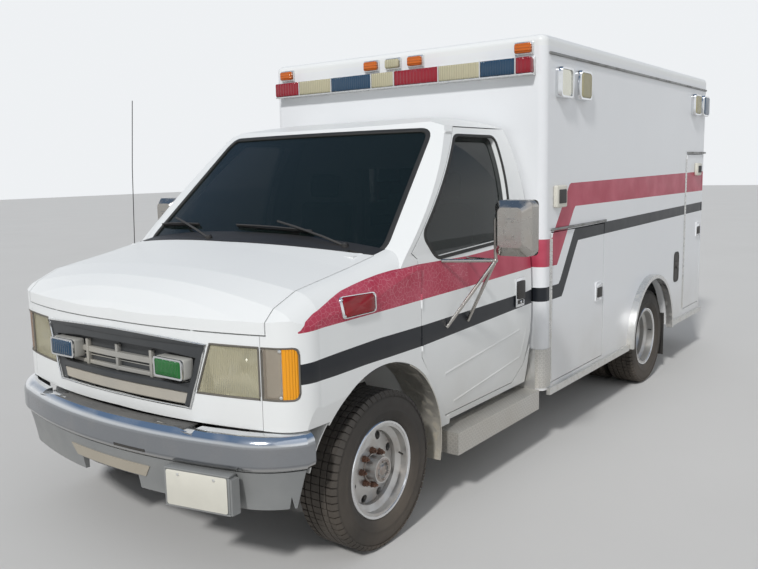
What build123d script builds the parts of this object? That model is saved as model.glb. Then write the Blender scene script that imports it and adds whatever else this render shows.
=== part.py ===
from build123d import *
from functools import cache
from math import cos, hypot, pi, sin
import os

# An ambulance with a box body on a van front end: sizes in mm, front towards -Y,
# driver's side towards +X, and the floor at Z = 0.

# Overall layout
WHEELBASE = 3505.0
FRONT_OVERHANG = 830.0
REAR_OVERHANG = 1765.0
LENGTH = FRONT_OVERHANG + WHEELBASE + REAR_OVERHANG
FRONT_Y = FRONT_OVERHANG - LENGTH / 2
REAR_Y = FRONT_Y + WHEELBASE
GAP = 6.0
SEAM = 5.5
SEAT = 0.3

# Wheels and tyres
TYRE_RADIUS = 372.0
TYRE_WIDTH = 225.0
TYRE_SHOULDER = 32.0
RIM_RADIUS = 222.0
RIM_WIDTH = 178.0
RIM_WALL = 9.0
DISC_THICKNESS = 12.0
HUB_RADIUS = 62.0
HUB_STAND_OUT = 66.0
SPINDLE_RADIUS = 30.0
HAND_HOLES = 8
HAND_HOLE_RADIUS = 20.0
HAND_HOLE_CIRCLE = 150.0
FRONT_TRACK = 1763.0
DUAL_OUTER_X = 951.0
DUAL_SPACING = 262.0
KINGPIN_X = 790.0
AXLE_Z = TYRE_RADIUS
KINGPIN_RADIUS = 14.0
STOP_RADIUS = 10.0
REAR_HUB_REACH = 60.0
DRUM_RADIUS = 125.0

# Chassis
RAIL_X = 430.0
RAIL_WIDTH = 70.0
RAIL_WALL = 8.0
RAIL_BOTTOM = 500.0
RAIL_TOP = 640.0
RAIL_FRONT = FRONT_Y - 640.0
CROSS_WIDTH = 90.0
CROSS_Z = RAIL_TOP - 40.0
CROSS_FRONT = 60.0
CROSS_REAR = 60.0
BRIDGE = 30.0
BRIDGE_HALF = 100.0
BRIDGE_Z = RAIL_BOTTOM + 40.0
HANGER_HALF = 40.0
HANGER_RISE = 60.0
SILL_BAR_HALF = 40.0
BEAM_HEIGHT = 78.0
BEAM_WIDTH = 62.0
BEAM_OFFSET = 56.0
AXLE_TUBE_RADIUS = 52.0
DIFF_RADIUS = 165.0
SPRING_X = 520.0
SPRING_HALF_LENGTH = 660.0
SPRING_WIDTH = 75.0
LEAF = 12.0
LEAF_SHARES = (0.78, 0.56, 0.36)
SPRING_TOP = AXLE_Z + AXLE_TUBE_RADIUS - 4.0 + LEAF * (len(LEAF_SHARES) + 1)
SHAFT_RADIUS = 45.0

ENGINE_X = (-285.0, 285.0)
ENGINE_Y = (FRONT_Y - 400.0, FRONT_Y + 480.0)
ENGINE_Z = (BRIDGE_Z + 40.0, 1035.0)
GEARBOX_END = FRONT_Y + 1180.0
GEARBOX_Z = 540.0
TANK_BOTTOM = 380.0
EXHAUST_X = -240.0
EXHAUST_Z = RAIL_BOTTOM - 75.0

# Cab section: half widths and heights of the side, from the sill to the roof
CAB_HALF = 1007.0
SILL_HALF = 958.0
SILL_Z = 445.0
BELT_Z = 1050.0
WINDOW_SILL_HALF = 985.0
WINDOW_SILL_Z = 1345.0
PILLAR_HALF = 944.0
PILLAR_Z = 1640.0
DRIP_HALF = 812.0
DRIP_Z = 1978.0
CROWN_Z = 2058.0
CAB_REAR = FRONT_Y + 1500.0
DASH_Y = FRONT_Y + 262.0
CAB_WALL = 62.0
CAB_FLOOR_Z = 690.0
CAB_FLOOR = 50.0

# Windscreen: where its lower corners are, how it bulges, and how it leans
SCREEN_CORNER_X = 889.0
SCREEN_CORNER_Y = FRONT_Y + 195.0
SCREEN_CORNER_Z = 1368.0
SCREEN_BULGE = 120.0
SCREEN_RUN = 639.0
SCREEN_RISE = 591.0
SCREEN_TOP_X = 750.0
SCREEN_TOP_Z = 1959.0
GLASS = 8.0

# Front end
NOSE_Y = FRONT_Y - 716.0
NOSE_LOW = 430.0
SILL_TUCK = 48.0
TUCK_Z = 800.0
HOOD_LIP_Z = 1108.0
HOOD_HALF_FRONT = 850.0
HOOD_HALF_REAR = 880.0
COWL_HALF = HOOD_HALF_REAR - 12.0
HOOD_REAR = FRONT_Y - 25.0
HOOD_REAR_Z = 1404.0
HOOD_REAR_RADIUS = 2700.0
HOOD_LEAN = 0.4
HOOD_REAR_GAP = 8.0
PANEL = 26.0
ARCH_RADIUS = 480.0
ARCH_Z = 400.0
GRILLE_TOP_HALF = 582.0
GRILLE_BOTTOM_HALF = 478.0
GRILLE_TOP = 1050.0
GRILLE_BOTTOM = 762.0
LAMP_STRIP = 11.0
LAMP_SPLIT_X = 834.0
LAMP_BOTTOM = 838.0
LAMP_TOP = 1058.0
LAMP_DEPTH = 70.0
LAMP_CORNER = 26.0
LAMP_REAR_Y = FRONT_Y - 533.0
BUMPER_TOP = 705.0
NOSE_BOTTOM = BUMPER_TOP + 5.0
BUMPER_BOTTOM = 548.0
BUMPER_DEPTH = 70.0
VALANCE_BOTTOM = 378.0
VALANCE_DEPTH = 40.0
VALANCE_TOP_INSET = 20.0
VALANCE_FOOT_INSET = 52.0

# Front end sections: place, half width, height at the middle, shoulder's place and height, top of the side
NOSE_SECTIONS = (
    (FRONT_Y - 760.0, 992.0, 1090.0, 872.0, 985.0, 880.0),
    (FRONT_Y - 700.0, 992.0, 1185.0, 872.0, 1062.0, 935.0),
    (FRONT_Y - 640.0, 992.0, 1245.0, 872.0, 1128.0, 985.0),
    (FRONT_Y - 560.0, 994.0, 1290.0, 872.0, 1206.0, 1040.0),
    (FRONT_Y - 430.0, 998.0, 1328.0, 874.0, 1262.0, 1090.0),
    (FRONT_Y - 100.0, 1004.0, 1388.0, 880.0, 1318.0, 1140.0),
    (FRONT_Y + 600.0, 1018.0, 1530.0, 886.0, 1455.0, 1250.0),
)

# Cab doors, seen from the side
DOOR_FRONT_Y = FRONT_Y + 300.0
DOOR_FRONT_LOW_Y = FRONT_Y + 390.0
DOOR_TOE_Y = FRONT_Y + 560.0
DOOR_REAR_Y = CAB_REAR - 12.0
DOOR_BOTTOM = 484.0
DOOR_TOP = 1972.0
DOOR_THICKNESS = 90.0
DOOR_REAR_GAP = 10.0
DOOR_HEEL = 170.0
PILLAR_WIDTH = 50.0
WINDOW_FRAME = 28.0

# Small sizes of the front end and the cab
HINGE_X = (740.0, 820.0)
HOOD_HINGE_Y = FRONT_Y + 85.0
HOOD_HINGE_Z = 1362.0
STOP_X = 500.0
GRILLE_SET_BACK = 52.0
GRILLE_DEPTH = 40.0
GRILLE_FRAME = 34.0
GRILLE_BAR = 34.0
GRILLE_BAR_Z = 915.0
GRILLE_LOW_Z = 830.0
GRILLE_DIVIDERS = 5
GRILLE_PITCH = 175.0
GRILLE_LIGHT_X = 395.0
GRILLE_LIGHT_Z = 938.0
LINER_X = 560.0
LINER = 6.0
BUMPER_KNEE = (740.0, FRONT_Y - 732.0)
BUMPER_BEND = (915.0, FRONT_Y - 650.0)
BUMPER_END_X = 1006.0
BUMPER_END_Y = FRONT_Y - 495.0
BUMPER_SIDE = 45.0
BUMPER_ROUND_TOP = 52.0
BUMPER_ROUND_LOW = 34.0
BUMPER_STEP_X = 560.0
VALANCE_SLOT_X = 210.0
PLATE_X = 610.0
RADIATOR_X = 400.0
DOOR_KNEE_Z = 850.0
CAB_HINGE_Z = (880.0, 1090.0)
HANDLE_Y = DOOR_REAR_Y - 123.0
HANDLE_Z = 950.0
MIRROR_X = 1300.0
MIRROR_Y = FRONT_Y + 690.0
MIRROR_TOP = 1592.0
MIRROR_WIDTH = 200.0
MIRROR_HEIGHT = 275.0
MIRROR_ARM_Z = 1290.0
MIRROR_FOOT_Z = 960.0
MIRROR_TUBE = 9.0
UNDER_X = 880.0
TUNNEL_X = 330.0
TUNNEL_Y = FRONT_Y + 740.0
TUNNEL_Z = 1090.0
PASS_X = (-270.0, 270.0)
PASS_Z = (1060.0, 1760.0)

# Module
MODULE_HALF = 1067.0
MODULE_FRONT = FRONT_Y + 1531.0
MODULE_LENGTH = 3489.0
MODULE_REAR = MODULE_FRONT + MODULE_LENGTH
MODULE_TOP = 2510.0
SKIRT_Z = 388.0
WALL = 60.0
ROOF = 66.0
FLOOR_BOTTOM = RAIL_TOP + 14.0
FLOOR_TOP = 742.0
CORNER = 52.0
WHEEL_ARCH = 478.0
WELL_WALL = 8.0
BOX_DEPTH = 420.0
BOX_WALL = 8.0

END_LEG_X = 620.0
WELL_X = 556.0
WELL_TOP = AXLE_Z + WHEEL_ARCH + 14.0
BOX_MARGIN = 14.0
STEP_DEPTH = 300.0
FREE_GAP = 10.0

# Where the cross members and the bars under the module are, along the frame
CROSS_Y = (
    RAIL_FRONT + CROSS_FRONT, FRONT_Y + 1400.0, REAR_Y - 780.0, REAR_Y + 780.0, MODULE_REAR - CROSS_REAR
)
SILL_BARS_Y = (MODULE_FRONT + 300.0, REAR_Y - 560.0, REAR_Y + 560.0, MODULE_REAR - 300.0)

# Doors in the module's sides: name, side, front, rear, bottom, top
SIDE_DOORS = (
    ("left_front", 1, MODULE_FRONT + 109.0, MODULE_FRONT + 964.0, 425.0, 1352.0),
    ("left_rear", 1, MODULE_FRONT + 2905.0, MODULE_FRONT + 3399.0, 455.0, 1825.0),
    ("right_rear", -1, MODULE_FRONT + 2905.0, MODULE_FRONT + 3399.0, 455.0, 1825.0),
    ("side", -1, MODULE_FRONT + 560.0, MODULE_FRONT + 1330.0, 425.0, MODULE_TOP - 380.0),
)
LATCH_Z = {"left_front": 890.0, "left_rear": 1140.0, "right_rear": 1140.0, "side": 1120.0}
SIDE_WINDOW_Z = (1480.0, MODULE_TOP - 550.0)
REAR_DOOR_X = 600.0
REAR_FREE_X = 5.0
REAR_DOOR_Z = (690.0, MODULE_TOP - 270.0)
REAR_WINDOW_X = (110.0, 510.0)
REAR_WINDOW_Z = (1480.0, MODULE_TOP - 550.0)

# Inside the module
CABINET_X = 560.0
CABINET_Y = (MODULE_FRONT + WALL + 20.0, MODULE_FRONT + 2860.0)
CABINET_TOP = MODULE_TOP - 130.0
SHELF_DEPTH = 300.0
UPPER_SHELF_Z = (CABINET_TOP - 600.0, CABINET_TOP - 80.0)
# Open shelves: front, rear (both from the module's front), bottom, top
SHELVES = (
    (1050.0, 1950.0, 1120.0, CABINET_TOP - 780.0),
    (120.0, 980.0, *UPPER_SHELF_Z),
    (1050.0, 1950.0, *UPPER_SHELF_Z),
    (2020.0, 2820.0, *UPPER_SHELF_Z),
)
BENCH_X = (-MODULE_HALF + WALL + SEAT, -480.0)
BENCH_Y = (MODULE_FRONT + 1400.0, MODULE_FRONT + 2840.0)
BENCH_TOP = 1140.0
COT_PLATE_X = (-280.0, 280.0)
COT_PLATE_Y = (MODULE_REAR - 2150.0, MODULE_REAR - 150.0)
COT_PLATE = 4.0

# Inside the cab
SEAT_X = 480.0
SEAT_HEIGHT = 330.0
DASH_HALF = 860.0
DASH_LOW = 930.0
DASH_TOP = 1275.0
WHEEL_Y = FRONT_Y + 745.0
WHEEL_Z = 1210.0
STEERING_RADIUS = 190.0
# Seats: across, along, floor, and 1 for facing the front or -1 for facing the rear
SEATS = (
    (SEAT_X, FRONT_Y + 850.0, CAB_FLOOR_Z, 1),
    (-SEAT_X, FRONT_Y + 850.0, CAB_FLOOR_Z, 1),
    (60.0, MODULE_FRONT + 640.0, FLOOR_TOP, -1),
)

# Lamps, rails and steps of the module
BAR_HALF = 1008.0
BAR_Z = MODULE_TOP - 179.0
BAR_HEIGHT = 100.0
BAR_DEPTH = 74.0
BAR_BASE = 22.0
BAR_LENSES = (231.0, 293.0, 343.0, 183.0, 338.0, 293.0, 235.0, 100.0)
MARKER = (120.0, 74.0, 42.0)
MARKER_X = (-936.0, -176.0, 0.0, 176.0, 936.0)
MARKER_Z = MODULE_TOP - 76.0
FLOOD = (232.0, 182.0, 48.0)
# Flood lamps on the side walls: along, height
FLOODS = (
    (MODULE_FRONT + 230.0, MODULE_TOP - 266.0), (MODULE_FRONT + 520.0, MODULE_TOP - 264.0),
    (MODULE_REAR - 420.0, MODULE_TOP - 254.0), (MODULE_REAR - 150.0, MODULE_TOP - 252.0),
)
# Lamps on the rear wall: across, height, width of the lamp, height of the lamp
REAR_LAMPS = (
    (860.0, MODULE_TOP - 280.0, 232.0, 182.0), (830.0, 1040.0, 110.0, 170.0),
    (830.0, 850.0, 110.0, 170.0), (830.0, 660.0, 110.0, 170.0),
)
FENDERETTE = 30.0
FENDERETTE_OUT = 52.0
RUB_RAIL = (24.0, 42.0)
KICK_Z = 650.0
BOARD_X = (905.0, 1045.0)
BOARD_Y = (FRONT_Y + 566.0, MODULE_FRONT - 6.0)
BOARD_BOTTOM = 278.0
BOARD_TOP = 398.0
BOARD_PLATE = 8.0
STEP_HALF = 940.0
STEP_Z = 505.0
STEP_FACE = 120.0
GUARD_X = (800.0, 1000.0)
FLAP_BEHIND = 463.0
FLAP = 8.0
FLAP_LOW = 130.0


def block(x, y, z):
    """A box from its low and high ends along each axis."""
    size = (x[1] - x[0], y[1] - y[0], z[1] - z[0])
    centre = ((x[0] + x[1]) / 2, (y[0] + y[1]) / 2, (z[0] + z[1]) / 2)
    return Pos(*centre) * Box(*size)


def side_prism(outline, x0, x1):
    """A closed outline of (y, z) points, drawn out along X."""
    points = [(x0, y, z) for y, z in outline]
    return extrude(make_face(Polyline(*points, close=True)), amount=x1 - x0, dir=(1, 0, 0))


def plan_prism(outline, z0, z1):
    """A closed outline of (x, y) points, drawn out along Z."""
    points = [(x, y, z0) for x, y in outline]
    return extrude(make_face(Polyline(*points, close=True)), amount=z1 - z0, dir=(0, 0, 1))


def rod(start, end, radius):
    """A round bar between two points."""
    line = Vector(*end) - Vector(*start)
    return extrude(Plane(origin=start, z_dir=line) * Circle(radius), amount=line.length)


def barrel(x0, x1, y, z, radius):
    """A cylinder along X."""
    return rod((x0, y, z), (x1, y, z), radius)


def both_sides(shape):
    """A left piece and its mirror image on the right."""
    return Compound([*shape.solids(), *mirror(shape, about=Plane.YZ).solids()])


def left_and_right(name, shape):
    """Two nodes, one each side, from the left piece."""
    return {name + "_left": shape, name + "_right": mirror(shape, about=Plane.YZ)}


# Wheels

def tyre(x):
    """A tyre as a ring with rounded shoulders, centred at x on the X axis."""
    half = TYRE_WIDTH / 2
    bead = RIM_WIDTH / 2 - RIM_WALL - SEAT
    inner = RIM_RADIUS - RIM_WALL + SEAT
    outline = [
        (bead, inner),
        (bead, RIM_RADIUS + RIM_WALL + SEAT),
        (half, (TYRE_RADIUS + inner) / 2),
        (half - TYRE_SHOULDER / 3, TYRE_RADIUS - TYRE_SHOULDER),
        (half - TYRE_SHOULDER, TYRE_RADIUS),
    ]
    right = [(x + a, 0, r) for a, r in outline]
    left = [(x - a, 0, r) for a, r in reversed(outline)]
    profile = make_face(Polyline(*right, *left, close=True))
    return revolve(profile, axis=Axis.X)


def rim_barrel(x):
    """The rim's well and its two flanges, centred at x."""
    half = RIM_WIDTH / 2
    seat = RIM_RADIUS - RIM_WALL
    well = seat - 28.0
    outline = [
        (-half, RIM_RADIUS + RIM_WALL), (-half + RIM_WALL, RIM_RADIUS + RIM_WALL),
        (-half + RIM_WALL, seat), (-half / 3, seat), (-half / 6, well), (half / 3, well),
        (half / 2, seat), (half - RIM_WALL, seat), (half - RIM_WALL, RIM_RADIUS + RIM_WALL),
        (half, RIM_RADIUS + RIM_WALL), (half, seat - RIM_WALL), (half / 2 + RIM_WALL, seat - RIM_WALL),
        (half / 3 + RIM_WALL, well - RIM_WALL), (-half / 6 - RIM_WALL, well - RIM_WALL),
        (-half / 3 - RIM_WALL, seat - RIM_WALL), (-half, seat - RIM_WALL),
    ]
    return revolve(make_face(Polyline(*[(x + a, 0, r) for a, r in outline], close=True)), axis=Axis.X)


def wheel_disc(x, dish, bore):
    """The disc that joins the rim's well to the hub, dished by so much outwards, with its hand holes."""
    rim_x = x
    face = x + dish
    t = DISC_THICKNESS
    well = RIM_RADIUS - RIM_WALL - 28.0 - RIM_WALL / 2
    outline = [
        (face, bore), (face + t, bore), (face + t, HAND_HOLE_CIRCLE - 40), (rim_x + dish / 2 + t, well - 12),
        (rim_x + t, well), (rim_x, well), (rim_x + dish / 2, well - 12 - t),
        (face, HAND_HOLE_CIRCLE - 40 - t),
    ]
    disc = revolve(make_face(Polyline(*[(a, 0, r) for a, r in outline], close=True)), axis=Axis.X)
    for index in range(HAND_HOLES):
        turn = 2 * pi * (index + 0.5) / HAND_HOLES
        y = HAND_HOLE_CIRCLE * cos(turn)
        z = HAND_HOLE_CIRCLE * sin(turn)
        disc -= barrel(face - 80, face + 80, y, z, HAND_HOLE_RADIUS)
    return disc


def front_rim():
    """A front wheel's rim, disc and hub, centred on its own axle, outer face towards +X."""
    x = FRONT_TRACK / 2
    dish = 18.0
    hub_end = x + dish + DISC_THICKNESS + HUB_STAND_OUT
    hub = barrel(x + dish - 40, hub_end, 0, 0, HUB_RADIUS)
    wheel = rim_barrel(x) + wheel_disc(x, dish, HUB_RADIUS - 10) + hub
    return wheel - barrel(x - 200, x + dish + 20, 0, 0, SPINDLE_RADIUS)


def rear_rims():
    """The two rims of a rear wheel, back to back on one hub."""
    inner = DUAL_OUTER_X - DUAL_SPACING
    middle = DUAL_OUTER_X - DUAL_SPACING / 2
    inner_rim = rim_barrel(inner) + wheel_disc(inner, DUAL_SPACING / 2 - DISC_THICKNESS, HUB_RADIUS)
    wheel = inner_rim + mirror(inner_rim, about=Plane.YZ.offset(middle))
    hub = barrel(middle - REAR_HUB_REACH, middle + HUB_STAND_OUT + 40, 0, 0, HUB_RADIUS + 20)
    return wheel + hub - barrel(middle - 200, middle + 20, 0, 0, AXLE_TUBE_RADIUS + SEAT)


def at_front(shape):
    """A piece made about its own axle, put on the front axle."""
    return Pos(0, FRONT_Y, AXLE_Z) * shape


def at_rear(shape):
    """A piece made about its own axle, put on the rear axle."""
    return Pos(0, REAR_Y, AXLE_Z) * shape


def knuckle():
    """The left steering knuckle: its yoke on the kingpin, the brake disc and the spindle."""
    x = FRONT_TRACK / 2
    slot = BEAM_HEIGHT / 2 + GAP
    yoke = block((KINGPIN_X - 32, KINGPIN_X + 50), (-45, 45), (-95, 95))
    yoke -= block((KINGPIN_X - 33, KINGPIN_X + 34), (-46, 46), (-slot, slot))
    yoke -= rod((KINGPIN_X, 0, -100), (KINGPIN_X, 0, 100), KINGPIN_RADIUS + SEAT)
    disc = barrel(x - 52, x - 30, 0, 0, 150)
    spindle = barrel(KINGPIN_X + 36, x + 17, 0, 0, SPINDLE_RADIUS - SEAT)
    arm = block((KINGPIN_X - 20, KINGPIN_X + 20), (30, 150), (-85, -65))
    return yoke + disc + spindle + arm


# Chassis

def rail():
    """The left channel rail, open towards the middle."""
    outer = block(
        (RAIL_X - RAIL_WIDTH / 2, RAIL_X + RAIL_WIDTH / 2), (RAIL_FRONT, MODULE_REAR),
        (RAIL_BOTTOM, RAIL_TOP)
    )
    inner = block(
        (RAIL_X - RAIL_WIDTH, RAIL_X + RAIL_WIDTH / 2 - RAIL_WALL),
        (RAIL_FRONT - 1, MODULE_REAR + 1),
        (RAIL_BOTTOM + RAIL_WALL, RAIL_TOP - RAIL_WALL),
    )
    return outer - inner


def chassis_frame():
    """Both rails with the hangers of the rear springs."""
    left = rail()
    for y in (REAR_Y - SPRING_HALF_LENGTH, REAR_Y + SPRING_HALF_LENGTH):
        left += block(
            (RAIL_X + RAIL_WIDTH / 2 - RAIL_WALL, SPRING_X + SPRING_WIDTH / 2),
            (y - HANGER_HALF, y + HANGER_HALF), (SPRING_TOP + SEAT, RAIL_BOTTOM + HANGER_RISE),
        )
    return both_sides(left)


def cross_members():
    """The members between the rails, the bridge over the front axle, and the bars under the module."""
    reach = RAIL_X + RAIL_WIDTH / 2 - RAIL_WALL - SEAT
    bars = []
    for y in CROSS_Y:
        ends = (y - CROSS_WIDTH / 2, y + CROSS_WIDTH / 2)
        bars.append(block((-reach, reach), ends, (CROSS_Z, RAIL_TOP - RAIL_WALL - SEAT)))
    bridge = (FRONT_Y - BRIDGE_HALF, FRONT_Y + BRIDGE_HALF)
    bars.append(block((-reach, reach), bridge, (BRIDGE_Z, BRIDGE_Z + BRIDGE)))
    over = RAIL_X + RAIL_WIDTH / 2
    for y in SILL_BARS_Y:
        bars.append(
            block((-over, over), (y - SILL_BAR_HALF, y + SILL_BAR_HALF), (RAIL_TOP + SEAT, FLOOR_BOTTOM))
        )
    return Compound([bar.solid() for bar in bars])


def front_beam(side):
    """One of the two crossed axle beams, from its pivot near the middle to the kingpin."""
    y = -side * BEAM_OFFSET
    half = BEAM_WIDTH / 2
    tip = side * (KINGPIN_X + KINGPIN_RADIUS + 6)
    elbow = side * (KINGPIN_X - 200)
    pivot = -side * 210
    outline = [
        (pivot, y - half), (elbow, y - half), (tip, -half), (tip, half), (elbow, y + half), (pivot, y + half),
    ]
    beam = plan_prism(outline, -BEAM_HEIGHT / 2, BEAM_HEIGHT / 2)
    web = block(sorted((pivot + side * 60, elbow)), (y - half - 1, y - half + 18), (-22, 22))
    beam -= web + Pos(0, 2 * half - 16, 0) * web
    pin = rod((side * KINGPIN_X, 0, -92), (side * KINGPIN_X, 0, 92), KINGPIN_RADIUS)
    return at_front(beam + pin)


def front_axle():
    """The crossed beams with their coil springs and the pivots that hang them from the frame."""
    axle = None
    for side in (1, -1):
        x = side * SPRING_X
        y = FRONT_Y - side * BEAM_OFFSET * 0.9
        piece = front_beam(side)
        piece += rod((x, y, AXLE_Z), (x, y, RAIL_BOTTOM + 100), 52)
        piece += block(
            sorted((side * (RAIL_X + 35), x + side * 60)), (y - 60, y + 60),
            (RAIL_BOTTOM + 90, RAIL_BOTTOM + 110)
        )
        pivot_x = -side * 210
        pivot_y = FRONT_Y - side * BEAM_OFFSET
        piece += block((pivot_x - 30, pivot_x + 30), (pivot_y - 30, pivot_y + 30), (AXLE_Z, BRIDGE_Z))
        axle = piece if axle is None else Compound([*axle.solids(), *piece.solids()])
    return axle


def leaf_spring():
    """The left rear spring: a stack of leaves, each shorter than the one above, on the axle tube."""
    x = (SPRING_X - SPRING_WIDTH / 2, SPRING_X + SPRING_WIDTH / 2)
    top = SPRING_TOP
    spring = block(x, (REAR_Y - SPRING_HALF_LENGTH - 38, REAR_Y + SPRING_HALF_LENGTH + 38), (top - LEAF, top))
    for index, share in enumerate(LEAF_SHARES):
        half = SPRING_HALF_LENGTH * share
        low = top - LEAF * (index + 2)
        spring += block(x, (REAR_Y - half, REAR_Y + half), (low, low + LEAF))
    return spring


def rear_axle():
    """The rear axle with its differential, the springs and the shaft from the gearbox."""
    middle = DUAL_OUTER_X - DUAL_SPACING / 2
    axle = barrel(-middle - 15, middle + 15, REAR_Y, AXLE_Z, AXLE_TUBE_RADIUS)
    drum = barrel(middle - 130, middle - REAR_HUB_REACH - SEAT, REAR_Y, AXLE_Z, DRUM_RADIUS)
    axle += drum + mirror(drum, about=Plane.YZ)
    diff = Pos(0, REAR_Y, AXLE_Z) * Sphere(DIFF_RADIUS)
    nose = rod((0, REAR_Y - 60, AXLE_Z), (0, REAR_Y - 300, AXLE_Z + 12), 70)
    shaft = rod((0, REAR_Y - 280, AXLE_Z + 12), (0, GEARBOX_END + 40, GEARBOX_Z), SHAFT_RADIUS)
    shaft += rod((0, GEARBOX_END + 60, GEARBOX_Z), (0, GEARBOX_END + SEAT, GEARBOX_Z), SHAFT_RADIUS + 10)
    springs = leaf_spring() + mirror(leaf_spring(), about=Plane.YZ)
    return axle + diff + nose + shaft + springs


def engine_block():
    """One plain block for the engine, with the gearbox behind it and the mounts on the rails."""
    engine = block(ENGINE_X, ENGINE_Y, ENGINE_Z)
    gearbox = block((-150, 150), (ENGINE_Y[1] - 90, GEARBOX_END), (GEARBOX_Z - 60, CROSS_Z - SEAT))
    inner = RAIL_X - RAIL_WIDTH / 2
    mounts = block((-inner, inner), (FRONT_Y - 40 + 200, FRONT_Y + 40 + 200), (ENGINE_Z[0], RAIL_TOP - 20))
    return engine + gearbox + mounts


def exhaust():
    """The pipe under the right rail, with its silencer and a tail pipe that ends behind the rear wheels."""
    z = EXHAUST_Z
    x = EXHAUST_X
    pipe = rod((x, ENGINE_Y[1] - 60, z), (x, REAR_Y - 560, z), 32)
    silencer = rod((x, FRONT_Y + 1500, z), (x, FRONT_Y + 2200, z), 85)
    down = rod((x, ENGINE_Y[1] - 28, z - 10), (x, ENGINE_Y[1] - 28, ENGINE_Z[0] - SEAT), 32)
    return pipe + silencer + down


def fuel_tank():
    """The tank between the rails behind the rear axle, on two straps."""
    body = block((-340, 340), (REAR_Y + 330, REAR_Y + 1060), (TANK_BOTTOM, CROSS_Z - SEAT))
    return fillet(body.edges().filter_by(Axis.Y), 40)


# Cab shapes

def cab_section(y, inset):
    """The outline across the cab, from one sill over the roof to the other."""
    low = SILL_Z - 200.0
    side = [
        (SILL_HALF - inset, SILL_Z),
        (CAB_HALF - 8 - inset, (SILL_Z + BELT_Z) / 2),
        (CAB_HALF - inset, BELT_Z),
        (CAB_HALF - 6 - inset, (BELT_Z + WINDOW_SILL_Z) / 2),
        (WINDOW_SILL_HALF - inset, WINDOW_SILL_Z),
        (PILLAR_HALF - inset, PILLAR_Z),
        (DRIP_HALF - inset, DRIP_Z - inset * 0.3),
        ((DRIP_HALF - inset) * 0.72, DRIP_Z + (CROWN_Z - DRIP_Z) * 0.72 - inset),
    ]
    right = [(x, y, z) for x, z in side]
    left = [(-x, y, z) for x, z in side]
    crown = (0, y, CROWN_Z - inset)
    edges = [Line((-right[0][0], y, low), (right[0][0], y, low)), Line((right[0][0], y, low), right[0])]
    for a in (0, 2, 4):
        edges.append(ThreePointArc(right[a], right[a + 1], right[a + 2]))
    edges.append(ThreePointArc(right[6], right[7], crown))
    edges.append(ThreePointArc(crown, left[7], left[6]))
    for a in (4, 2, 0):
        edges.append(ThreePointArc(left[a + 2], left[a + 1], left[a]))
    edges.append(Line(left[0], (-right[0][0], y, low)))
    return make_face(Wire(edges))


@cache
def screen_solid(inset):
    """All that lies behind the windscreen's surface: a leaning cylinder of a large radius."""
    radius = (SCREEN_CORNER_X ** 2 + SCREEN_BULGE ** 2) / (2 * SCREEN_BULGE)
    slope = SCREEN_RUN / SCREEN_RISE
    low = SCREEN_CORNER_Z - 160.0
    front = SCREEN_CORNER_Y - SCREEN_BULGE - 160.0 * slope + inset * hypot(1, slope)
    disc = Pos(0, front + radius, low) * Circle(radius)
    rise = 1200.0
    return extrude(disc, amount=rise * hypot(1, slope), dir=(0, slope, 1))


@cache
def cab_solid(inset, floor):
    """The cab's volume behind the dash and the windscreen, from floor height up."""
    front = FRONT_Y - 200.0
    body = extrude(cab_section(front, inset), amount=CAB_REAR - inset - front, dir=(0, 1, 0))
    high = block((-1200, 1200), (front, CAB_REAR), (SCREEN_CORNER_Z - 70, 2300)) & screen_solid(inset)
    deep = block((-1200, 1200), (DASH_Y + inset, CAB_REAR), (floor, SCREEN_CORNER_Z - 69))
    roof_line = [
        (FRONT_Y + 180.0, SCREEN_CORNER_Z - 800.0), (FRONT_Y + 180.0, SCREEN_TOP_Z - 60.0 - inset),
        (FRONT_Y + 830.0, SCREEN_TOP_Z + 44.0 - inset), (FRONT_Y + 1120.0, CROWN_Z - 10 - inset),
        (CAB_REAR, CROWN_Z + 4 - inset), (CAB_REAR, SCREEN_CORNER_Z - 800.0),
    ]
    roofed = side_prism(
        [(FRONT_Y - 200.0, 0.0), (FRONT_Y - 200.0, SCREEN_TOP_Z - 240.0)] + roof_line[1:5]
        + [(CAB_REAR, 0.0)], -1200, 1200
    )
    return body & (high + deep) & roofed


def nose_section(y, half, centre, shoulder_x, shoulder, side, inset):
    """The outline across the front end: a crowned top, rounded shoulders and flat sides."""
    p = [
        (half - inset, side), (half - inset - (half - shoulder_x) * 0.25, side + (shoulder - side) * 0.70),
        (shoulder_x - inset, shoulder - inset),
        (shoulder_x * 0.52, shoulder + (centre - shoulder) * 0.76 - inset),
        (0, centre - inset),
    ]
    right = [(x, y, z) for x, z in p]
    left = [(-x, y, z) for x, z in p]
    foot = half - SILL_TUCK - inset
    edges = [
        Line((-foot, y, NOSE_LOW), (foot, y, NOSE_LOW)), Line((foot, y, NOSE_LOW), (p[0][0], y, TUCK_Z)),
        Line((p[0][0], y, TUCK_Z), right[0]),
        ThreePointArc(right[0], right[1], right[2]), ThreePointArc(right[2], right[3], right[4]),
        ThreePointArc(left[4], left[3], left[2]), ThreePointArc(left[2], left[1], left[0]),
        Line(left[0], (-p[0][0], y, TUCK_Z)), Line((-p[0][0], y, TUCK_Z), (-foot, y, NOSE_LOW)),
    ]
    return make_face(Wire(edges))


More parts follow.
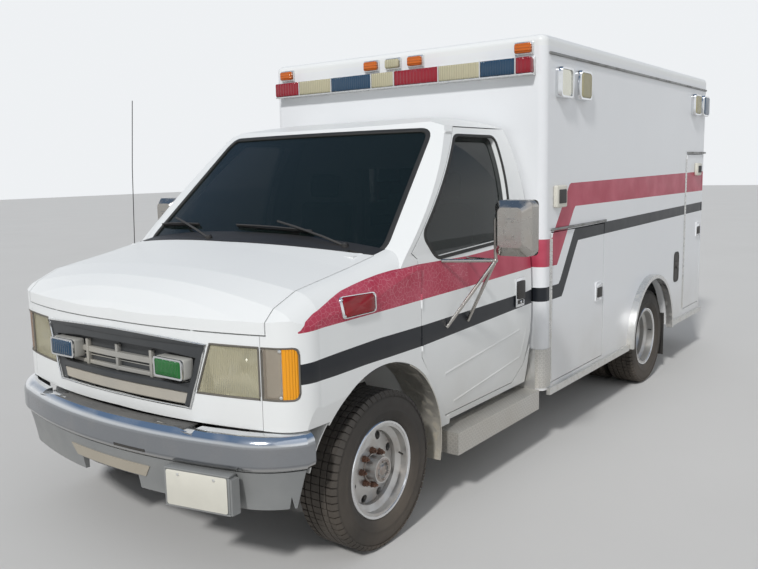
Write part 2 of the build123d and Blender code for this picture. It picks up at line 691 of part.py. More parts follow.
def plan_curve(inset):
    """The nose seen from above, as a solid: a shallow front and round corners."""
    z = NOSE_LOW
    front = NOSE_Y + inset
    corner_in = (880.0 - inset, FRONT_Y - 606.0 + inset, z)
    corner = (962.0 - inset, FRONT_Y - 552.0 + inset * 0.7, z)
    corner_out = (996.0 - inset, FRONT_Y - 440.0, z)
    side = (CAB_HALF - inset, FRONT_Y - 60.0, z)
    back = (CAB_HALF - inset, FRONT_Y + 600.0, z)
    face = (582.0, front + 40.0, z)
    middle = (0, front, z)
    edges = [
        ThreePointArc(corner_in, face, middle),
        ThreePointArc(middle, (-face[0], face[1], z), (-corner_in[0], corner_in[1], z)),
        ThreePointArc(corner_out, corner, corner_in),
        ThreePointArc(
            (-corner_in[0], corner_in[1], z), (-corner[0], corner[1], z),
            (-corner_out[0], corner_out[1], z)
        ),
    ]
    for mirror_x in (1, -1):
        edges.append(Line((mirror_x * corner_out[0], corner_out[1], z), (mirror_x * side[0], side[1], z)))
        edges.append(Line((mirror_x * side[0], side[1], z), (mirror_x * back[0], back[1], z)))
    edges.append(Line(back, (-back[0], back[1], z)))
    return extrude(make_face(Wire(edges)), amount=1500, dir=(0, 0, 1))


@cache
def nose_solid(inset):
    """The front end's volume, from its sections and its plan."""
    return loft([nose_section(*row, inset) for row in NOSE_SECTIONS], ruled=True) & plan_curve(inset)


def cab_skin(y0, y1, outer, inner):
    """The cab's side and roof as a band between two insets of its section."""
    shell = [extrude(cab_section(y0, inset), amount=y1 - y0, dir=(0, 1, 0)) for inset in (outer, inner)]
    return shell[0] - shell[1]


def side_cut(outline, x, radius=0.0, margin=0.0):
    """A side outline of (y, z) points, grown by a margin and rounded, as a solid along X."""
    face = make_face(Polyline(*outline, close=True))
    if margin:
        face = offset(face, amount=margin, kind=Kind.INTERSECTION)
    if radius:
        face = fillet(face.vertices(), radius)
    plane = Plane(origin=(x[0], 0, 0), x_dir=(0, 1, 0), z_dir=(1, 0, 0))
    return extrude(plane * face, amount=x[1] - x[0])


# Hood and what it covers

def behind_hood(margin):
    """All behind the hood's bowed rear edge, which leans so that it swings up clear of the cowl."""
    low = 200.0
    disc = Pos(
        0, HOOD_REAR + margin + HOOD_REAR_RADIUS - (HOOD_REAR_Z - low) * HOOD_LEAN, low
    ) * Circle(HOOD_REAR_RADIUS)
    return extrude(disc, amount=1700 * hypot(1, HOOD_LEAN), dir=(0, HOOD_LEAN, 1))


def hood_plan(margin):
    """The hood seen from above, grown by a margin, as a solid over the nose's whole height."""
    z = 300.0
    outline = [
        (-HOOD_HALF_FRONT - margin, NOSE_Y - 200), (HOOD_HALF_FRONT + margin, NOSE_Y - 200),
        (HOOD_HALF_REAR + margin, FRONT_Y + 400), (-HOOD_HALF_REAR - margin, FRONT_Y + 400),
    ]
    return plan_prism(outline, z, z + 1500) - behind_hood(margin)


def hood():
    """The hood: the top of the nose down to its lip."""
    over = block((-1000, 1000), (NOSE_Y - 100, FRONT_Y + 400), (HOOD_LIP_Z, 1600))
    panel = (nose_solid(0.0) - nose_solid(PANEL)) & hood_plan(0.0) & over
    hinge = barrel(HINGE_X[0], HINGE_X[1], HOOD_HINGE_Y, HOOD_HINGE_Z, GAP - SEAT)
    arm = block(HINGE_X, (HOOD_HINGE_Y - 70, HOOD_HINGE_Y), (HOOD_HINGE_Z - 14, HOOD_HINGE_Z - 3))
    return panel + both_sides(hinge + arm)


def grille_outline(margin):
    """The grille's opening seen from the front, as a solid along Y."""
    points = [
        (-GRILLE_TOP_HALF, GRILLE_TOP), (GRILLE_TOP_HALF, GRILLE_TOP),
        (GRILLE_BOTTOM_HALF, GRILLE_BOTTOM), (-GRILLE_BOTTOM_HALF, GRILLE_BOTTOM),
    ]
    face = offset(make_face(Polyline(*points, close=True)), amount=margin, kind=Kind.INTERSECTION)
    face = fillet(face.vertices(), 24)
    plane = Plane(origin=(0, NOSE_Y - 100, 0), x_dir=(1, 0, 0), z_dir=(0, -1, 0))
    return extrude(plane * face, amount=-400)


def front_outline(points, radius):
    """An outline of (x, z) points seen from the front, rounded, as a solid through the nose along Y."""
    face = fillet(make_face(Polyline(*points, close=True)).vertices(), radius)
    plane = Plane(origin=(0, NOSE_Y - 100, 0), x_dir=(1, 0, 0), z_dir=(0, -1, 0))
    return extrude(plane * face, amount=-400)


def grille_side_x(z):
    """Where the grille's slanted side runs, at a height."""
    slope = (GRILLE_TOP_HALF - GRILLE_BOTTOM_HALF) / (GRILLE_TOP - GRILLE_BOTTOM)
    return GRILLE_TOP_HALF + (z - GRILLE_TOP) * slope


def headlamp_region(margin):
    """Where the left headlamp sits, beside the grille's slanted side, as a solid along Y."""
    low, high = LAMP_BOTTOM - margin, LAMP_TOP + margin
    outer = LAMP_SPLIT_X - SEAM + margin
    points = [
        (grille_side_x(low) + LAMP_STRIP - margin, low), (outer, low),
        (outer, high), (grille_side_x(high) + LAMP_STRIP - margin, high),
    ]
    return front_outline(points, 8)


def corner_lamp_region(margin):
    """Where the left corner lamp sits, round the nose's corner, as a solid along Y."""
    low, high = LAMP_BOTTOM - margin, LAMP_TOP + margin
    tall = block((LAMP_SPLIT_X - margin, CAB_HALF + 10), (NOSE_Y - 100, LAMP_REAR_Y + margin), (low, high))
    return fillet(tall.edges().filter_by(Axis.X).group_by(Axis.Y)[-1], LAMP_CORNER)


def nose_panel():
    """The panel round the grille and the lamps, below the hood, with the stops that the hood rests on."""
    region = block(
        (-LAMP_SPLIT_X, LAMP_SPLIT_X), (NOSE_Y - 100, FRONT_Y - 400), (NOSE_BOTTOM, HOOD_LIP_Z - GAP)
    )
    panel = (nose_solid(0.0) - nose_solid(PANEL)) & region
    panel -= grille_outline(0.0)
    lamps = headlamp_region(SEAT) + corner_lamp_region(SEAT)
    panel -= lamps + mirror(lamps, about=Plane.YZ)
    for x in (-STOP_X, STOP_X):
        panel += rod(
            (x, NOSE_Y + PANEL / 2 + 28, HOOD_LIP_Z - GAP - 20),
            (x, NOSE_Y + PANEL / 2 + 28, HOOD_LIP_Z - SEAT), STOP_RADIUS
        )
    return panel


def grille():
    """The grille: a surround, a main bar with dividers under and over it, and a bowed lower bar."""
    y = (NOSE_Y + GRILLE_SET_BACK, NOSE_Y + GRILLE_SET_BACK + GRILLE_DEPTH)
    slab = block((-700, 700), y, (600, 1100))
    frame = (grille_outline(-SEAT) - grille_outline(-GRILLE_FRAME)) & slab
    inside = grille_outline(-GRILLE_FRAME + 2) & slab
    bars = block((-700, 700), y, (GRILLE_BAR_Z, GRILLE_BAR_Z + GRILLE_BAR))
    bars += block((-700, 700), y, (GRILLE_LOW_Z, GRILLE_LOW_Z + GRILLE_BAR))
    for index in range(GRILLE_DIVIDERS):
        x = (index - (GRILLE_DIVIDERS - 1) / 2) * GRILLE_PITCH
        bars += block((x - 7, x + 7), (y[0] + 12, y[1]), (GRILLE_LOW_Z, GRILLE_TOP))
    return frame + (bars & inside)


def front_lamps():
    """Headlamps and corner lamps that fill the nose's openings, and the two lights on the grille."""
    lens = nose_solid(2.0) - nose_solid(LAMP_DEPTH)
    head = lens & headlamp_region(0.0)
    corner = lens & corner_lamp_region(0.0)
    light = block(
        (GRILLE_LIGHT_X - 95, GRILLE_LIGHT_X + 95),
        (NOSE_Y + GRILLE_SET_BACK - 70, NOSE_Y + GRILLE_SET_BACK - SEAT),
        (GRILLE_LIGHT_Z - 45, GRILLE_LIGHT_Z + 45),
    )
    return both_sides(head + corner + fillet(light.edges().filter_by(Axis.Y), 12))


def arch_liner():
    """The left front wheel's house: a round sheet over the wheel from the fender inwards."""
    ring = barrel(LINER_X, CAB_HALF - 14, FRONT_Y, ARCH_Z, ARCH_RADIUS + LINER)
    ring -= barrel(LINER_X - 1, CAB_HALF, FRONT_Y, ARCH_Z, ARCH_RADIUS)
    return ring & block((0, CAB_HALF), (FRONT_Y - 600, FRONT_Y + 600), (SILL_Z + 60, 1200))


def fender():
    """The left fender, from the nose panel to the door, with the wheel's opening and its liner."""
    split = SCREEN_CORNER_Z - 70.0
    region = block((LAMP_SPLIT_X + SEAM / 2, 1200), (NOSE_Y - 100, FRONT_Y + 600), (NOSE_LOW, 1500))
    skin = (nose_solid(0.0) - nose_solid(PANEL)) & region
    skin -= hood_plan(SEAM) & block((-1000, 1000), (NOSE_Y - 200, FRONT_Y + 400), (HOOD_LIP_Z - GAP, 1800))
    skin -= block((0, COWL_HALF + SEAM / 2), (FRONT_Y - 300, FRONT_Y + 600), (1100, 1600))
    skin -= barrel(500, 1200, FRONT_Y, ARCH_Z, ARCH_RADIUS)
    skin -= corner_lamp_region(SEAT)
    skin -= side_cut(door_outline(), (800, 1200), 0.0, GAP)
    skin -= block((0, 1200), (FRONT_Y, FRONT_Y + 700), (split - SEAT, 1600)) & screen_solid(-SEAT)
    skin -= block((0, 1200), (FRONT_Y - 2000, FRONT_Y - 380), (0, NOSE_BOTTOM - 1))
    liner = arch_liner() & nose_solid(PANEL / 2)
    return skin + liner


def cowl():
    """The dark panel between the hood and the windscreen, that the wipers stand on."""
    region = block((-COWL_HALF, COWL_HALF), (FRONT_Y - 300, FRONT_Y + 400), (1100, 1600))
    panel = (nose_solid(0.0) - nose_solid(PANEL)) & region
    panel -= hood_plan(HOOD_REAR_GAP)
    pocket = block(
        (HINGE_X[0] - GAP, HINGE_X[1] + GAP), (HOOD_HINGE_Y - 100, HOOD_HINGE_Y + 2 * GAP), (1100, 1500)
    )
    panel -= pocket + mirror(pocket, about=Plane.YZ)
    return panel - screen_solid(-SEAT)


def bumper_face(inset, z):
    """The bumper seen from above at a height, set back by an inset: it follows the nose round its corners."""
    end = (BUMPER_END_X, BUMPER_END_Y - BUMPER_SIDE)
    edges = [ThreePointArc((-BUMPER_KNEE[0], BUMPER_KNEE[1]), (0, FRONT_Y - FRONT_OVERHANG), BUMPER_KNEE)]
    for side in (1, -1):
        points = [(side * x, y) for x, y in (BUMPER_KNEE, BUMPER_BEND, end)]
        edges.append(ThreePointArc(*points))
        edges.append(Line(points[2], (side * BUMPER_END_X, BUMPER_END_Y)))
    edges.append(Line((BUMPER_END_X, BUMPER_END_Y), (-BUMPER_END_X, BUMPER_END_Y)))
    face = make_face(Wire(edges))
    return Pos(0, 0, z) * (offset(face, amount=-inset) if inset else face)


def bumper_bar(outer, inset, z):
    """A wall that follows the bumper's plan: a solid less its own inside."""
    bar = outer - extrude(bumper_face(inset, z[0]), amount=z[1] - z[0])
    reach = BUMPER_END_X - inset
    return bar - block((-reach, reach), (BUMPER_END_Y - inset - 5, BUMPER_END_Y + 1), (z[0] - 1, z[1] + 1))


def front_bumper():
    """The chrome bumper with its rounded face, a sunk step and the two horns that hold it on the rails."""
    outer = extrude(bumper_face(0.0, BUMPER_BOTTOM), amount=BUMPER_TOP - BUMPER_BOTTOM)
    ahead = outer.edges().filter_by(lambda e: e.center().Y < BUMPER_END_Y - 1)
    outer = fillet(ahead.group_by(Axis.Z)[-1], BUMPER_ROUND_TOP)
    ahead = outer.edges().filter_by(lambda e: e.center().Y < BUMPER_END_Y - 1)
    outer = fillet(ahead.group_by(Axis.Z)[0], BUMPER_ROUND_LOW)
    bar = bumper_bar(outer, BUMPER_DEPTH, (BUMPER_BOTTOM, BUMPER_TOP))
    step = (-BUMPER_STEP_X, BUMPER_STEP_X)
    bar -= block(step, (NOSE_Y - 46, FRONT_Y - 600), (BUMPER_TOP - 14, BUMPER_TOP + 1))
    bar += block(step, (FRONT_Y - FRONT_OVERHANG + 60, NOSE_Y + PANEL), (BUMPER_TOP - 20, BUMPER_TOP - 14))
    horn = block(
        (RAIL_X - 20, RAIL_X + RAIL_WIDTH / 2),
        (FRONT_Y - FRONT_OVERHANG + BUMPER_DEPTH - 5, RAIL_FRONT - SEAT),
        (BUMPER_BOTTOM + 10, RAIL_TOP - 10),
    )
    return bar + horn + mirror(horn, about=Plane.YZ)


def front_valance():
    """The grey skirt under the bumper, leaning back to its foot, with its opening and the pad for a plate."""
    top = BUMPER_BOTTOM - SEAT
    outer = loft(
        [bumper_face(VALANCE_TOP_INSET, top), bumper_face(VALANCE_FOOT_INSET, VALANCE_BOTTOM)], ruled=True
    )
    skirt = bumper_bar(outer, VALANCE_FOOT_INSET + VALANCE_DEPTH / 2, (VALANCE_BOTTOM, top))
    skirt -= block(
        (-VALANCE_SLOT_X, VALANCE_SLOT_X), (FRONT_Y - 900, FRONT_Y - 500),
        (VALANCE_BOTTOM - 1, VALANCE_BOTTOM + 62)
    )
    y = FRONT_Y - FRONT_OVERHANG + 112
    pad = block((PLATE_X - 175, PLATE_X + 175), (y - 42, y), (VALANCE_BOTTOM + 4, VALANCE_BOTTOM + 156))
    return skirt + pad


def radiator():
    """The radiator behind the grille, standing on the rails' front cross member."""
    y = NOSE_Y + 150
    core = block((-RADIATOR_X, RADIATOR_X), (y, y + 60), (RAIL_TOP + SEAT, LAMP_TOP + 20))
    bar = block((-LAMP_SPLIT_X + 60, LAMP_SPLIT_X - 60), (y - 20, y + 20), (LAMP_TOP + 8, LAMP_TOP + 32))
    return core + bar


# Cab

def pillar_y(z):
    """Where the door's edge runs beside the windscreen, at a height."""
    slope = SCREEN_RUN / SCREEN_RISE
    return SCREEN_CORNER_Y + (z - SCREEN_CORNER_Z) * slope + PILLAR_WIDTH * hypot(1, slope)


def door_outline():
    """The cab door's outline from the side, in (y, z)."""
    pillar_z = SCREEN_CORNER_Z - 10.0
    heel = DOOR_HEEL
    return [
        (pillar_y(pillar_z), pillar_z), (DOOR_FRONT_Y, pillar_z - 30), (DOOR_FRONT_Y, DOOR_KNEE_Z),
        (DOOR_FRONT_LOW_Y, DOOR_KNEE_Z - 130), (DOOR_TOE_Y, DOOR_BOTTOM), (DOOR_REAR_Y - heel, DOOR_BOTTOM),
        (DOOR_REAR_Y - heel * 0.3, DOOR_BOTTOM + heel * 0.55), (DOOR_REAR_Y, DOOR_BOTTOM + heel * 1.7),
        (DOOR_REAR_Y, DOOR_TOP), (pillar_y(DOOR_TOP), DOOR_TOP),
    ]


def window_outline():
    """The door's glass area from the side, in (y, z), with the corner for the mirror's sail."""
    low = WINDOW_SILL_Z + 90
    high = DOOR_TOP - 50
    return [
        (FRONT_Y + 470, WINDOW_SILL_Z - 25), (pillar_y(low) + WINDOW_FRAME, low),
        (pillar_y(high) + WINDOW_FRAME, high),
        (FRONT_Y + 1330, high), (FRONT_Y + 1238, WINDOW_SILL_Z + 6),
    ]


def cab_door():
    """The left cab door, as thick as the whole door, with its window cut and its two hinges."""
    skin = cab_skin(FRONT_Y, CAB_REAR, 0.0, DOOR_THICKNESS)
    door = skin & side_cut(door_outline(), (DRIP_HALF - DOOR_THICKNESS - 2, 1200))
    door -= side_cut(window_outline(), (600, 1250), 26.0)
    for z in CAB_HINGE_Z:
        door += rod((CAB_HALF, DOOR_FRONT_Y, z), (CAB_HALF, DOOR_FRONT_Y, z + 70), GAP - SEAT)
    handle = block((CAB_HALF - 14, CAB_HALF + 10), (HANDLE_Y - 90, HANDLE_Y), (HANDLE_Z, HANDLE_Z + 160))
    return door + fillet(handle.edges().filter_by(Axis.Z), 8)


def door_glass():
    """The left door's window glass."""
    band = cab_skin(FRONT_Y, CAB_REAR, 30.0, 30.0 + GLASS)
    return band & side_cut(window_outline(), (600, 1250), 26.0, -SEAT)


def mirror_head():
    """The left mirror on its tube frame: two arms, two struts, a post and the boxed head."""
    foot_x = CAB_HALF + SEAT
    post = (MIRROR_X - 105, MIRROR_Y, 0)
    low = (post[0], post[1], MIRROR_ARM_Z)
    shape = rod(low, (post[0], post[1], MIRROR_TOP - 90), MIRROR_TUBE)
    shape += rod((foot_x - 14, MIRROR_Y - 190, MIRROR_ARM_Z + 8), low, MIRROR_TUBE)
    shape += rod((foot_x - 14, MIRROR_Y + 60, MIRROR_ARM_Z - 4), low, MIRROR_TUBE)
    shape += rod((foot_x + 2, MIRROR_Y - 170, MIRROR_FOOT_Z), low, MIRROR_TUBE)
    shape += rod((foot_x + 2, MIRROR_Y + 40, MIRROR_FOOT_Z), low, MIRROR_TUBE)
    shape += Pos(*low) * Sphere(MIRROR_TUBE * 1.4)
    back = Plane(
        origin=(MIRROR_X, MIRROR_Y - 12, MIRROR_TOP - MIRROR_HEIGHT / 2), z_dir=(0, -1, 0), x_dir=(1, 0, 0)
    )
    outline = RectangleRounded(MIRROR_WIDTH, MIRROR_HEIGHT, 34)
    small = RectangleRounded(MIRROR_WIDTH - 70, MIRROR_HEIGHT - 80, 24)
    shape += extrude(back * outline, amount=-70) + loft([back * outline, back * Pos(0, 6, 44) * small])
    return shape - cab_solid_left()


def cab_solid_left():
    """The door's outer volume, that the mirror's feet stop at."""
    return extrude(cab_section(FRONT_Y, -SEAT), amount=CAB_REAR - FRONT_Y, dir=(0, 1, 0))


def screen_outline(margin):
    """The windscreen seen from the front, as a solid along Y."""
    points = [
        (-SCREEN_CORNER_X + 22, SCREEN_CORNER_Z - 4), (SCREEN_CORNER_X - 22, SCREEN_CORNER_Z - 4),
        (SCREEN_TOP_X, SCREEN_TOP_Z), (-SCREEN_TOP_X, SCREEN_TOP_Z),
    ]
    face = offset(
        make_face(Polyline(*points, close=True)), amount=margin, kind=Kind.INTERSECTION
    ) if margin else make_face(Polyline(*points, close=True))
    face = fillet(face.vertices(), 45)
    plane = Plane(origin=(0, FRONT_Y - 300, 0), x_dir=(1, 0, 0), z_dir=(0, -1, 0))
    return extrude(plane * face, amount=-1300)


def windscreen():
    """The windscreen's glass, in its opening between the pillars."""
    return (screen_solid(6.0) - screen_solid(6.0 + GLASS)) & screen_outline(-SEAT)


def cab_shell():
    """Cab roof, pillars, sills, floor, dash wall and back, with every opening cut."""
    shell = cab_solid(0.0, SILL_Z) - cab_solid(CAB_WALL, CAB_FLOOR_Z)
    shell -= block((-UNDER_X, UNDER_X), (FRONT_Y, CAB_REAR + 10), (SILL_Z - 10, CAB_FLOOR_Z - CAB_FLOOR))
    shell -= screen_outline(0.0)
    tunnel = (-TUNNEL_X, TUNNEL_X)
    shell -= block(tunnel, (FRONT_Y, TUNNEL_Y), (SILL_Z - 10, TUNNEL_Z))
    shell -= block(PASS_X, (CAB_REAR - CAB_WALL - 10, CAB_REAR + 10), PASS_Z)
    grown = [(y if y < DOOR_REAR_Y - 1 else CAB_REAR + 40, z) for y, z in door_outline()]
    cut = side_cut(grown, (CAB_HALF - DOOR_THICKNESS - 230, 1200), 0.0, GAP)
    band = cab_skin(FRONT_Y, CAB_REAR + 50, -20.0, DOOR_THICKNESS + GAP)
    cut &= band
    split = SCREEN_CORNER_Z - 70.0
    skin = (nose_solid(-2.0) - nose_solid(PANEL + SEAT)) & block(
        (-1200, 1200), (FRONT_Y, FRONT_Y + 600), (0, split + SEAT)
    )
    house = barrel(LINER_X - SEAT, 1200, FRONT_Y, ARCH_Z, ARCH_RADIUS + LINER + SEAT)
    shell -= skin
    for piece in (cut, house):
        shell -= piece
        shell -= mirror(piece, about=Plane.YZ)
    return shell.solids().sort_by(SortBy.VOLUME)[-1]


def dashboard():
    """The dash, the engine's cover between the seats, and the steering wheel on its column."""
    wall = DASH_Y + CAB_WALL + SEAT
    profile = [
        (wall, DASH_LOW), (wall + 90, DASH_LOW), (wall + 250, DASH_LOW + 160), (wall + 262, DASH_TOP - 60),
        (wall + 200, DASH_TOP), (wall, DASH_TOP - 8),
    ]
    dash = side_prism(profile, -DASH_HALF, DASH_HALF)
    cover = block((-TUNNEL_X - 24, TUNNEL_X + 24), (wall, TUNNEL_Y + 24), (CAB_FLOOR_Z + SEAT, TUNNEL_Z + 24))
    hollow = block((-TUNNEL_X, TUNNEL_X), (wall - 1, TUNNEL_Y), (CAB_FLOOR_Z - 1, TUNNEL_Z))
    centre = Vector(SEAT_X, WHEEL_Y, WHEEL_Z)
    lean = Vector(0, -0.62, -0.44)
    column = rod(tuple(centre), tuple(centre + lean * 420), 28)
    plane = Plane(origin=centre, z_dir=-lean)
    wheel = plane * Torus(STEERING_RADIUS, 14)
    wheel += plane * Cylinder(60, 34)
    for turn in (0, 120, 240):
        wheel += plane * Rot(0, 0, turn + 90) * Pos(STEERING_RADIUS / 2, 0, 0) * Box(STEERING_RADIUS, 34, 14)
    return dash + cover - hollow + column + wheel


def seat(x, y, floor, facing):
    """A bucket seat in one soft block, from pedestal to head rest. Facing is 1 to the front."""
    shape = block(
        (x - 190, x + 190), sorted((y, y + facing * 360)), (floor + SEAT, floor + SEAT_HEIGHT - 140)
    )
    shape += block(
        (x - 250, x + 250), sorted((y - facing * 60, y + facing * 430)),
        (floor + SEAT_HEIGHT - 141, floor + SEAT_HEIGHT)
    )
    back = [
        (y + facing * 340, floor + SEAT_HEIGHT - 90), (y + facing * 440, floor + SEAT_HEIGHT - 90),
        (y + facing * 545, floor + SEAT_HEIGHT + 560), (y + facing * 450, floor + SEAT_HEIGHT + 560),
    ]
    shape += side_prism(back, x - 235, x + 235)
    rest = [
        (y + facing * 462, floor + SEAT_HEIGHT + 540), (y + facing * 545, floor + SEAT_HEIGHT + 540),
        (y + facing * 568, floor + SEAT_HEIGHT + 740), (y + facing * 485, floor + SEAT_HEIGHT + 740),
    ]
    return shape + side_prism(rest, x - 130, x + 130)


def seats():
    """The two cab seats, the attendant's seat, and the cushion along the bench."""
    parts = [seat(*row).solid() for row in SEATS]
    cushion = block(
        (BENCH_X[0] + 20, BENCH_X[1] - 10), (BENCH_Y[0] + 10, BENCH_Y[1] - 10),
        (BENCH_TOP + SEAT, BENCH_TOP + 90)
    )
    return Compound([*parts, fillet(cushion.edges(), 25).solid()])


# Module

def module_outer():
    """The module's outer form with its rounded corner posts and roof edge."""
    body = block((-MODULE_HALF, MODULE_HALF), (MODULE_FRONT, MODULE_REAR), (SKIRT_Z, MODULE_TOP))
    body = fillet(body.edges().filter_by(Axis.Z), CORNER)
    return fillet(body.faces().sort_by(Axis.Z)[-1].edges(), CORNER * 0.75)


def between(z0, z1):
    """All that lies between two heights."""
    return block((-1500, 1500), (MODULE_FRONT - 200, MODULE_REAR + 200), (z0, z1))


def compartment(row, margin, x):
    """A compartment's outline grown by a margin, drawn across from one x to another."""
    name, side, y0, y1, z0, z1 = row
    return block(sorted((side * x[0], side * x[1])), (y0 - margin, y1 + margin), (z0 - margin, z1 + margin))


def door_opening(row):
    """The hole that a side door fills: a gap round it, and more at its free edge."""
    name, side, y0, y1, z0, z1 = row
    reach = sorted((side * (MODULE_HALF - WALL - 10), side * (MODULE_HALF + 10)))
    return block(reach, (y0 - GAP, y1 + FREE_GAP), (z0 - GAP, z1 + GAP))


def wheel_openings(radius):
    """The round openings over the rear wheels, through both sides."""
    round_part = barrel(-1500, 1500, REAR_Y, AXLE_Z, radius)
    return round_part + block((-1500, 1500), (REAR_Y - radius, REAR_Y + radius), (0, AXLE_Z))


def module_sides():
    """Both side walls with their corner posts, cut for the doors and the wheels."""
    slab = between(SKIRT_Z - 1, MODULE_TOP - ROOF)
    left = block(
        (MODULE_HALF - WALL, MODULE_HALF + 1), (MODULE_FRONT - 1, MODULE_REAR + 1),
        (SKIRT_Z - 1, MODULE_TOP)
    )
    walls = module_outer() & slab & (left + mirror(left, about=Plane.YZ))
    for row in SIDE_DOORS:
        walls -= door_opening(row)
    return walls - wheel_openings(WHEEL_ARCH)


def module_ends():
    """The front wall with the way through to the cab, and the rear wall with its double door's opening."""
    reach = MODULE_HALF - WALL
    front = block((-reach, reach), (MODULE_FRONT, MODULE_FRONT + WALL), (SKIRT_Z, MODULE_TOP - ROOF))
    rear = block((-reach, reach), (MODULE_REAR - WALL, MODULE_REAR), (SKIRT_Z, MODULE_TOP - ROOF))
    under = block((-END_LEG_X, END_LEG_X), (MODULE_FRONT - 1, MODULE_REAR + 1), (SKIRT_Z - 1, FLOOR_BOTTOM))
    way = block(PASS_X, (MODULE_FRONT - 1, MODULE_FRONT + WALL + 1), PASS_Z)
    back = block(
        (-REAR_DOOR_X - GAP, REAR_DOOR_X + GAP), (MODULE_REAR - WALL - 1, MODULE_REAR + 1),
        (REAR_DOOR_Z[0] - GAP, REAR_DOOR_Z[1] + GAP),
    )
    return (front - way) + (rear - back) - under


def module_roof():
    """The roof panel with its rounded edge."""
    return module_outer() & between(MODULE_TOP - ROOF, MODULE_TOP + 10)


def well_box(margin):
    """The left wheel well's box, grown by a margin."""
    half = WHEEL_ARCH + 16 + margin
    inner = WELL_X - margin
    return block(
        (inner, MODULE_HALF - WALL), (REAR_Y - half, REAR_Y + half), (FLOOR_BOTTOM, WELL_TOP + margin)
    )


def wheel_wells():
    """The boxes over the rear wheels, open below, standing on the floor's edges."""
    reach = MODULE_HALF - WALL - SEAT
    well = well_box(WELL_WALL) & block(
        (-reach, reach), (MODULE_FRONT, MODULE_REAR), (FLOOR_TOP + SEAT, MODULE_TOP)
    )
    return both_sides(well - well_box(0.0))


def module_floor():
    """The floor, open over the rear wheels and notched for the compartments, with a plate for a cot."""
    reach = MODULE_HALF - WALL - SEAT
    floor = block(
        (-reach, reach), (MODULE_FRONT + WALL + SEAT, MODULE_REAR - WALL - GAP), (FLOOR_BOTTOM, FLOOR_TOP)
    )
    hollow = well_box(0.0)
    floor -= hollow + mirror(hollow, about=Plane.YZ)
    for row in SIDE_DOORS:
        floor -= compartment(
            row, BOX_MARGIN + BOX_WALL + SEAT,
            (MODULE_HALF - WALL - depth_of(row) - BOX_WALL - SEAT, MODULE_HALF)
        )
    return floor + block(COT_PLATE_X, COT_PLATE_Y, (FLOOR_TOP - 1, FLOOR_TOP + COT_PLATE))


def depth_of(row):
    """How far a compartment reaches in from the wall."""
    return STEP_DEPTH if row[0] == "side" else BOX_DEPTH


def compartments():
    """The boxes behind the compartment doors, and the step well inside the side door."""
    boxes = []
    for row in SIDE_DOORS:
        name, side, y0, y1, z0, z1 = row
        near = MODULE_HALF - WALL
        far = near - depth_of(row)
        tall = row if name != "side" else (name, side, y0, y1, z0, FLOOR_TOP - BOX_MARGIN - BOX_WALL)
        box = compartment(tall, BOX_MARGIN + BOX_WALL, (far - BOX_WALL, near - SEAT))
        hollow = compartment(tall, BOX_MARGIN, (far, near + 10))
        if name == "side":
            hollow += Pos(0, 0, 200) * hollow
        boxes.append((box - hollow).solid())
    return Compound(boxes)


def side_box(row, margin):
    """A compartment's box as a plain block, to cut its room from what stands beside it."""
    near = MODULE_HALF
    return compartment(
        row, BOX_MARGIN + BOX_WALL + margin, (near - WALL - depth_of(row) - BOX_WALL - margin, near)
    )


def cabinets():
    """The cabinets along the left wall, with their open shelves, and the bench box along the right."""
    wall = MODULE_HALF - WALL - SEAT
    left = block((CABINET_X, wall), CABINET_Y, (FLOOR_TOP + SEAT, CABINET_TOP))
    bench = block((BENCH_X[0], BENCH_X[1]), BENCH_Y, (FLOOR_TOP + SEAT, BENCH_TOP))
    left -= well_box(WELL_WALL + SEAT)
    bench -= mirror(well_box(WELL_WALL + SEAT), about=Plane.YZ)
    for row in SIDE_DOORS:
        left -= side_box(row, SEAT)
        bench -= side_box(row, SEAT)
    for y0, y1, z0, z1 in SHELVES:
        left -= block(
            (CABINET_X - 1, CABINET_X + SHELF_DEPTH), (MODULE_FRONT + y0, MODULE_FRONT + y1), (z0, z1)
        )
    return Compound([left.solids().sort_by(SortBy.VOLUME)[-1], bench.solids().sort_by(SortBy.VOLUME)[-1]])


def side_door(row):
    """A door in a side wall with the barrel of its long hinge down its front edge and its latch."""
    name, side, y0, y1, z0, z1 = row
    door = block(sorted((side * (MODULE_HALF - WALL), side * MODULE_HALF)), (y0, y1), (z0, z1))
    door += rod((side * MODULE_HALF, y0, z0), (side * MODULE_HALF, y0, z1), GAP - SEAT)
    latch_y = y1 - 90
    latch_z = LATCH_Z[name]
    latch = block(
        sorted((side * (MODULE_HALF - 10), side * (MODULE_HALF + 8))), (latch_y - 55, latch_y + 55),
        (latch_z - 70, latch_z + 70)
    )
    door += fillet(latch.edges().filter_by(Axis.X), 16)
    if name == "side":
        door -= block((-MODULE_HALF - 20, -MODULE_HALF + WALL + 10), (y0 + 160, y1 - 160), SIDE_WINDOW_Z)
    return door


def side_door_glass(row):
    """The side door's window."""
    name, side, y0, y1, z0, z1 = row
    x = -MODULE_HALF + 22
    return block(
        (x, x + GLASS), (y0 + 160 + SEAT, y1 - 160 - SEAT),
        (SIDE_WINDOW_Z[0] + SEAT, SIDE_WINDOW_Z[1] - SEAT)
    )


def rear_door():
    """The left rear door, with the barrel of its hinge down its outer edge."""
    door = block((REAR_FREE_X, REAR_DOOR_X), (MODULE_REAR - WALL, MODULE_REAR), REAR_DOOR_Z)
    door += rod(
        (REAR_DOOR_X, MODULE_REAR, REAR_DOOR_Z[0]), (REAR_DOOR_X, MODULE_REAR, REAR_DOOR_Z[1]), GAP - SEAT
    )
    window = block(REAR_WINDOW_X, (MODULE_REAR - WALL - 10, MODULE_REAR + 20), REAR_WINDOW_Z)
    grip = block((REAR_FREE_X + 40, REAR_FREE_X + 110), (MODULE_REAR - 10, MODULE_REAR + 34), (1180, 1330))
    return door - window + fillet(grip.edges().filter_by(Axis.Z), 12)


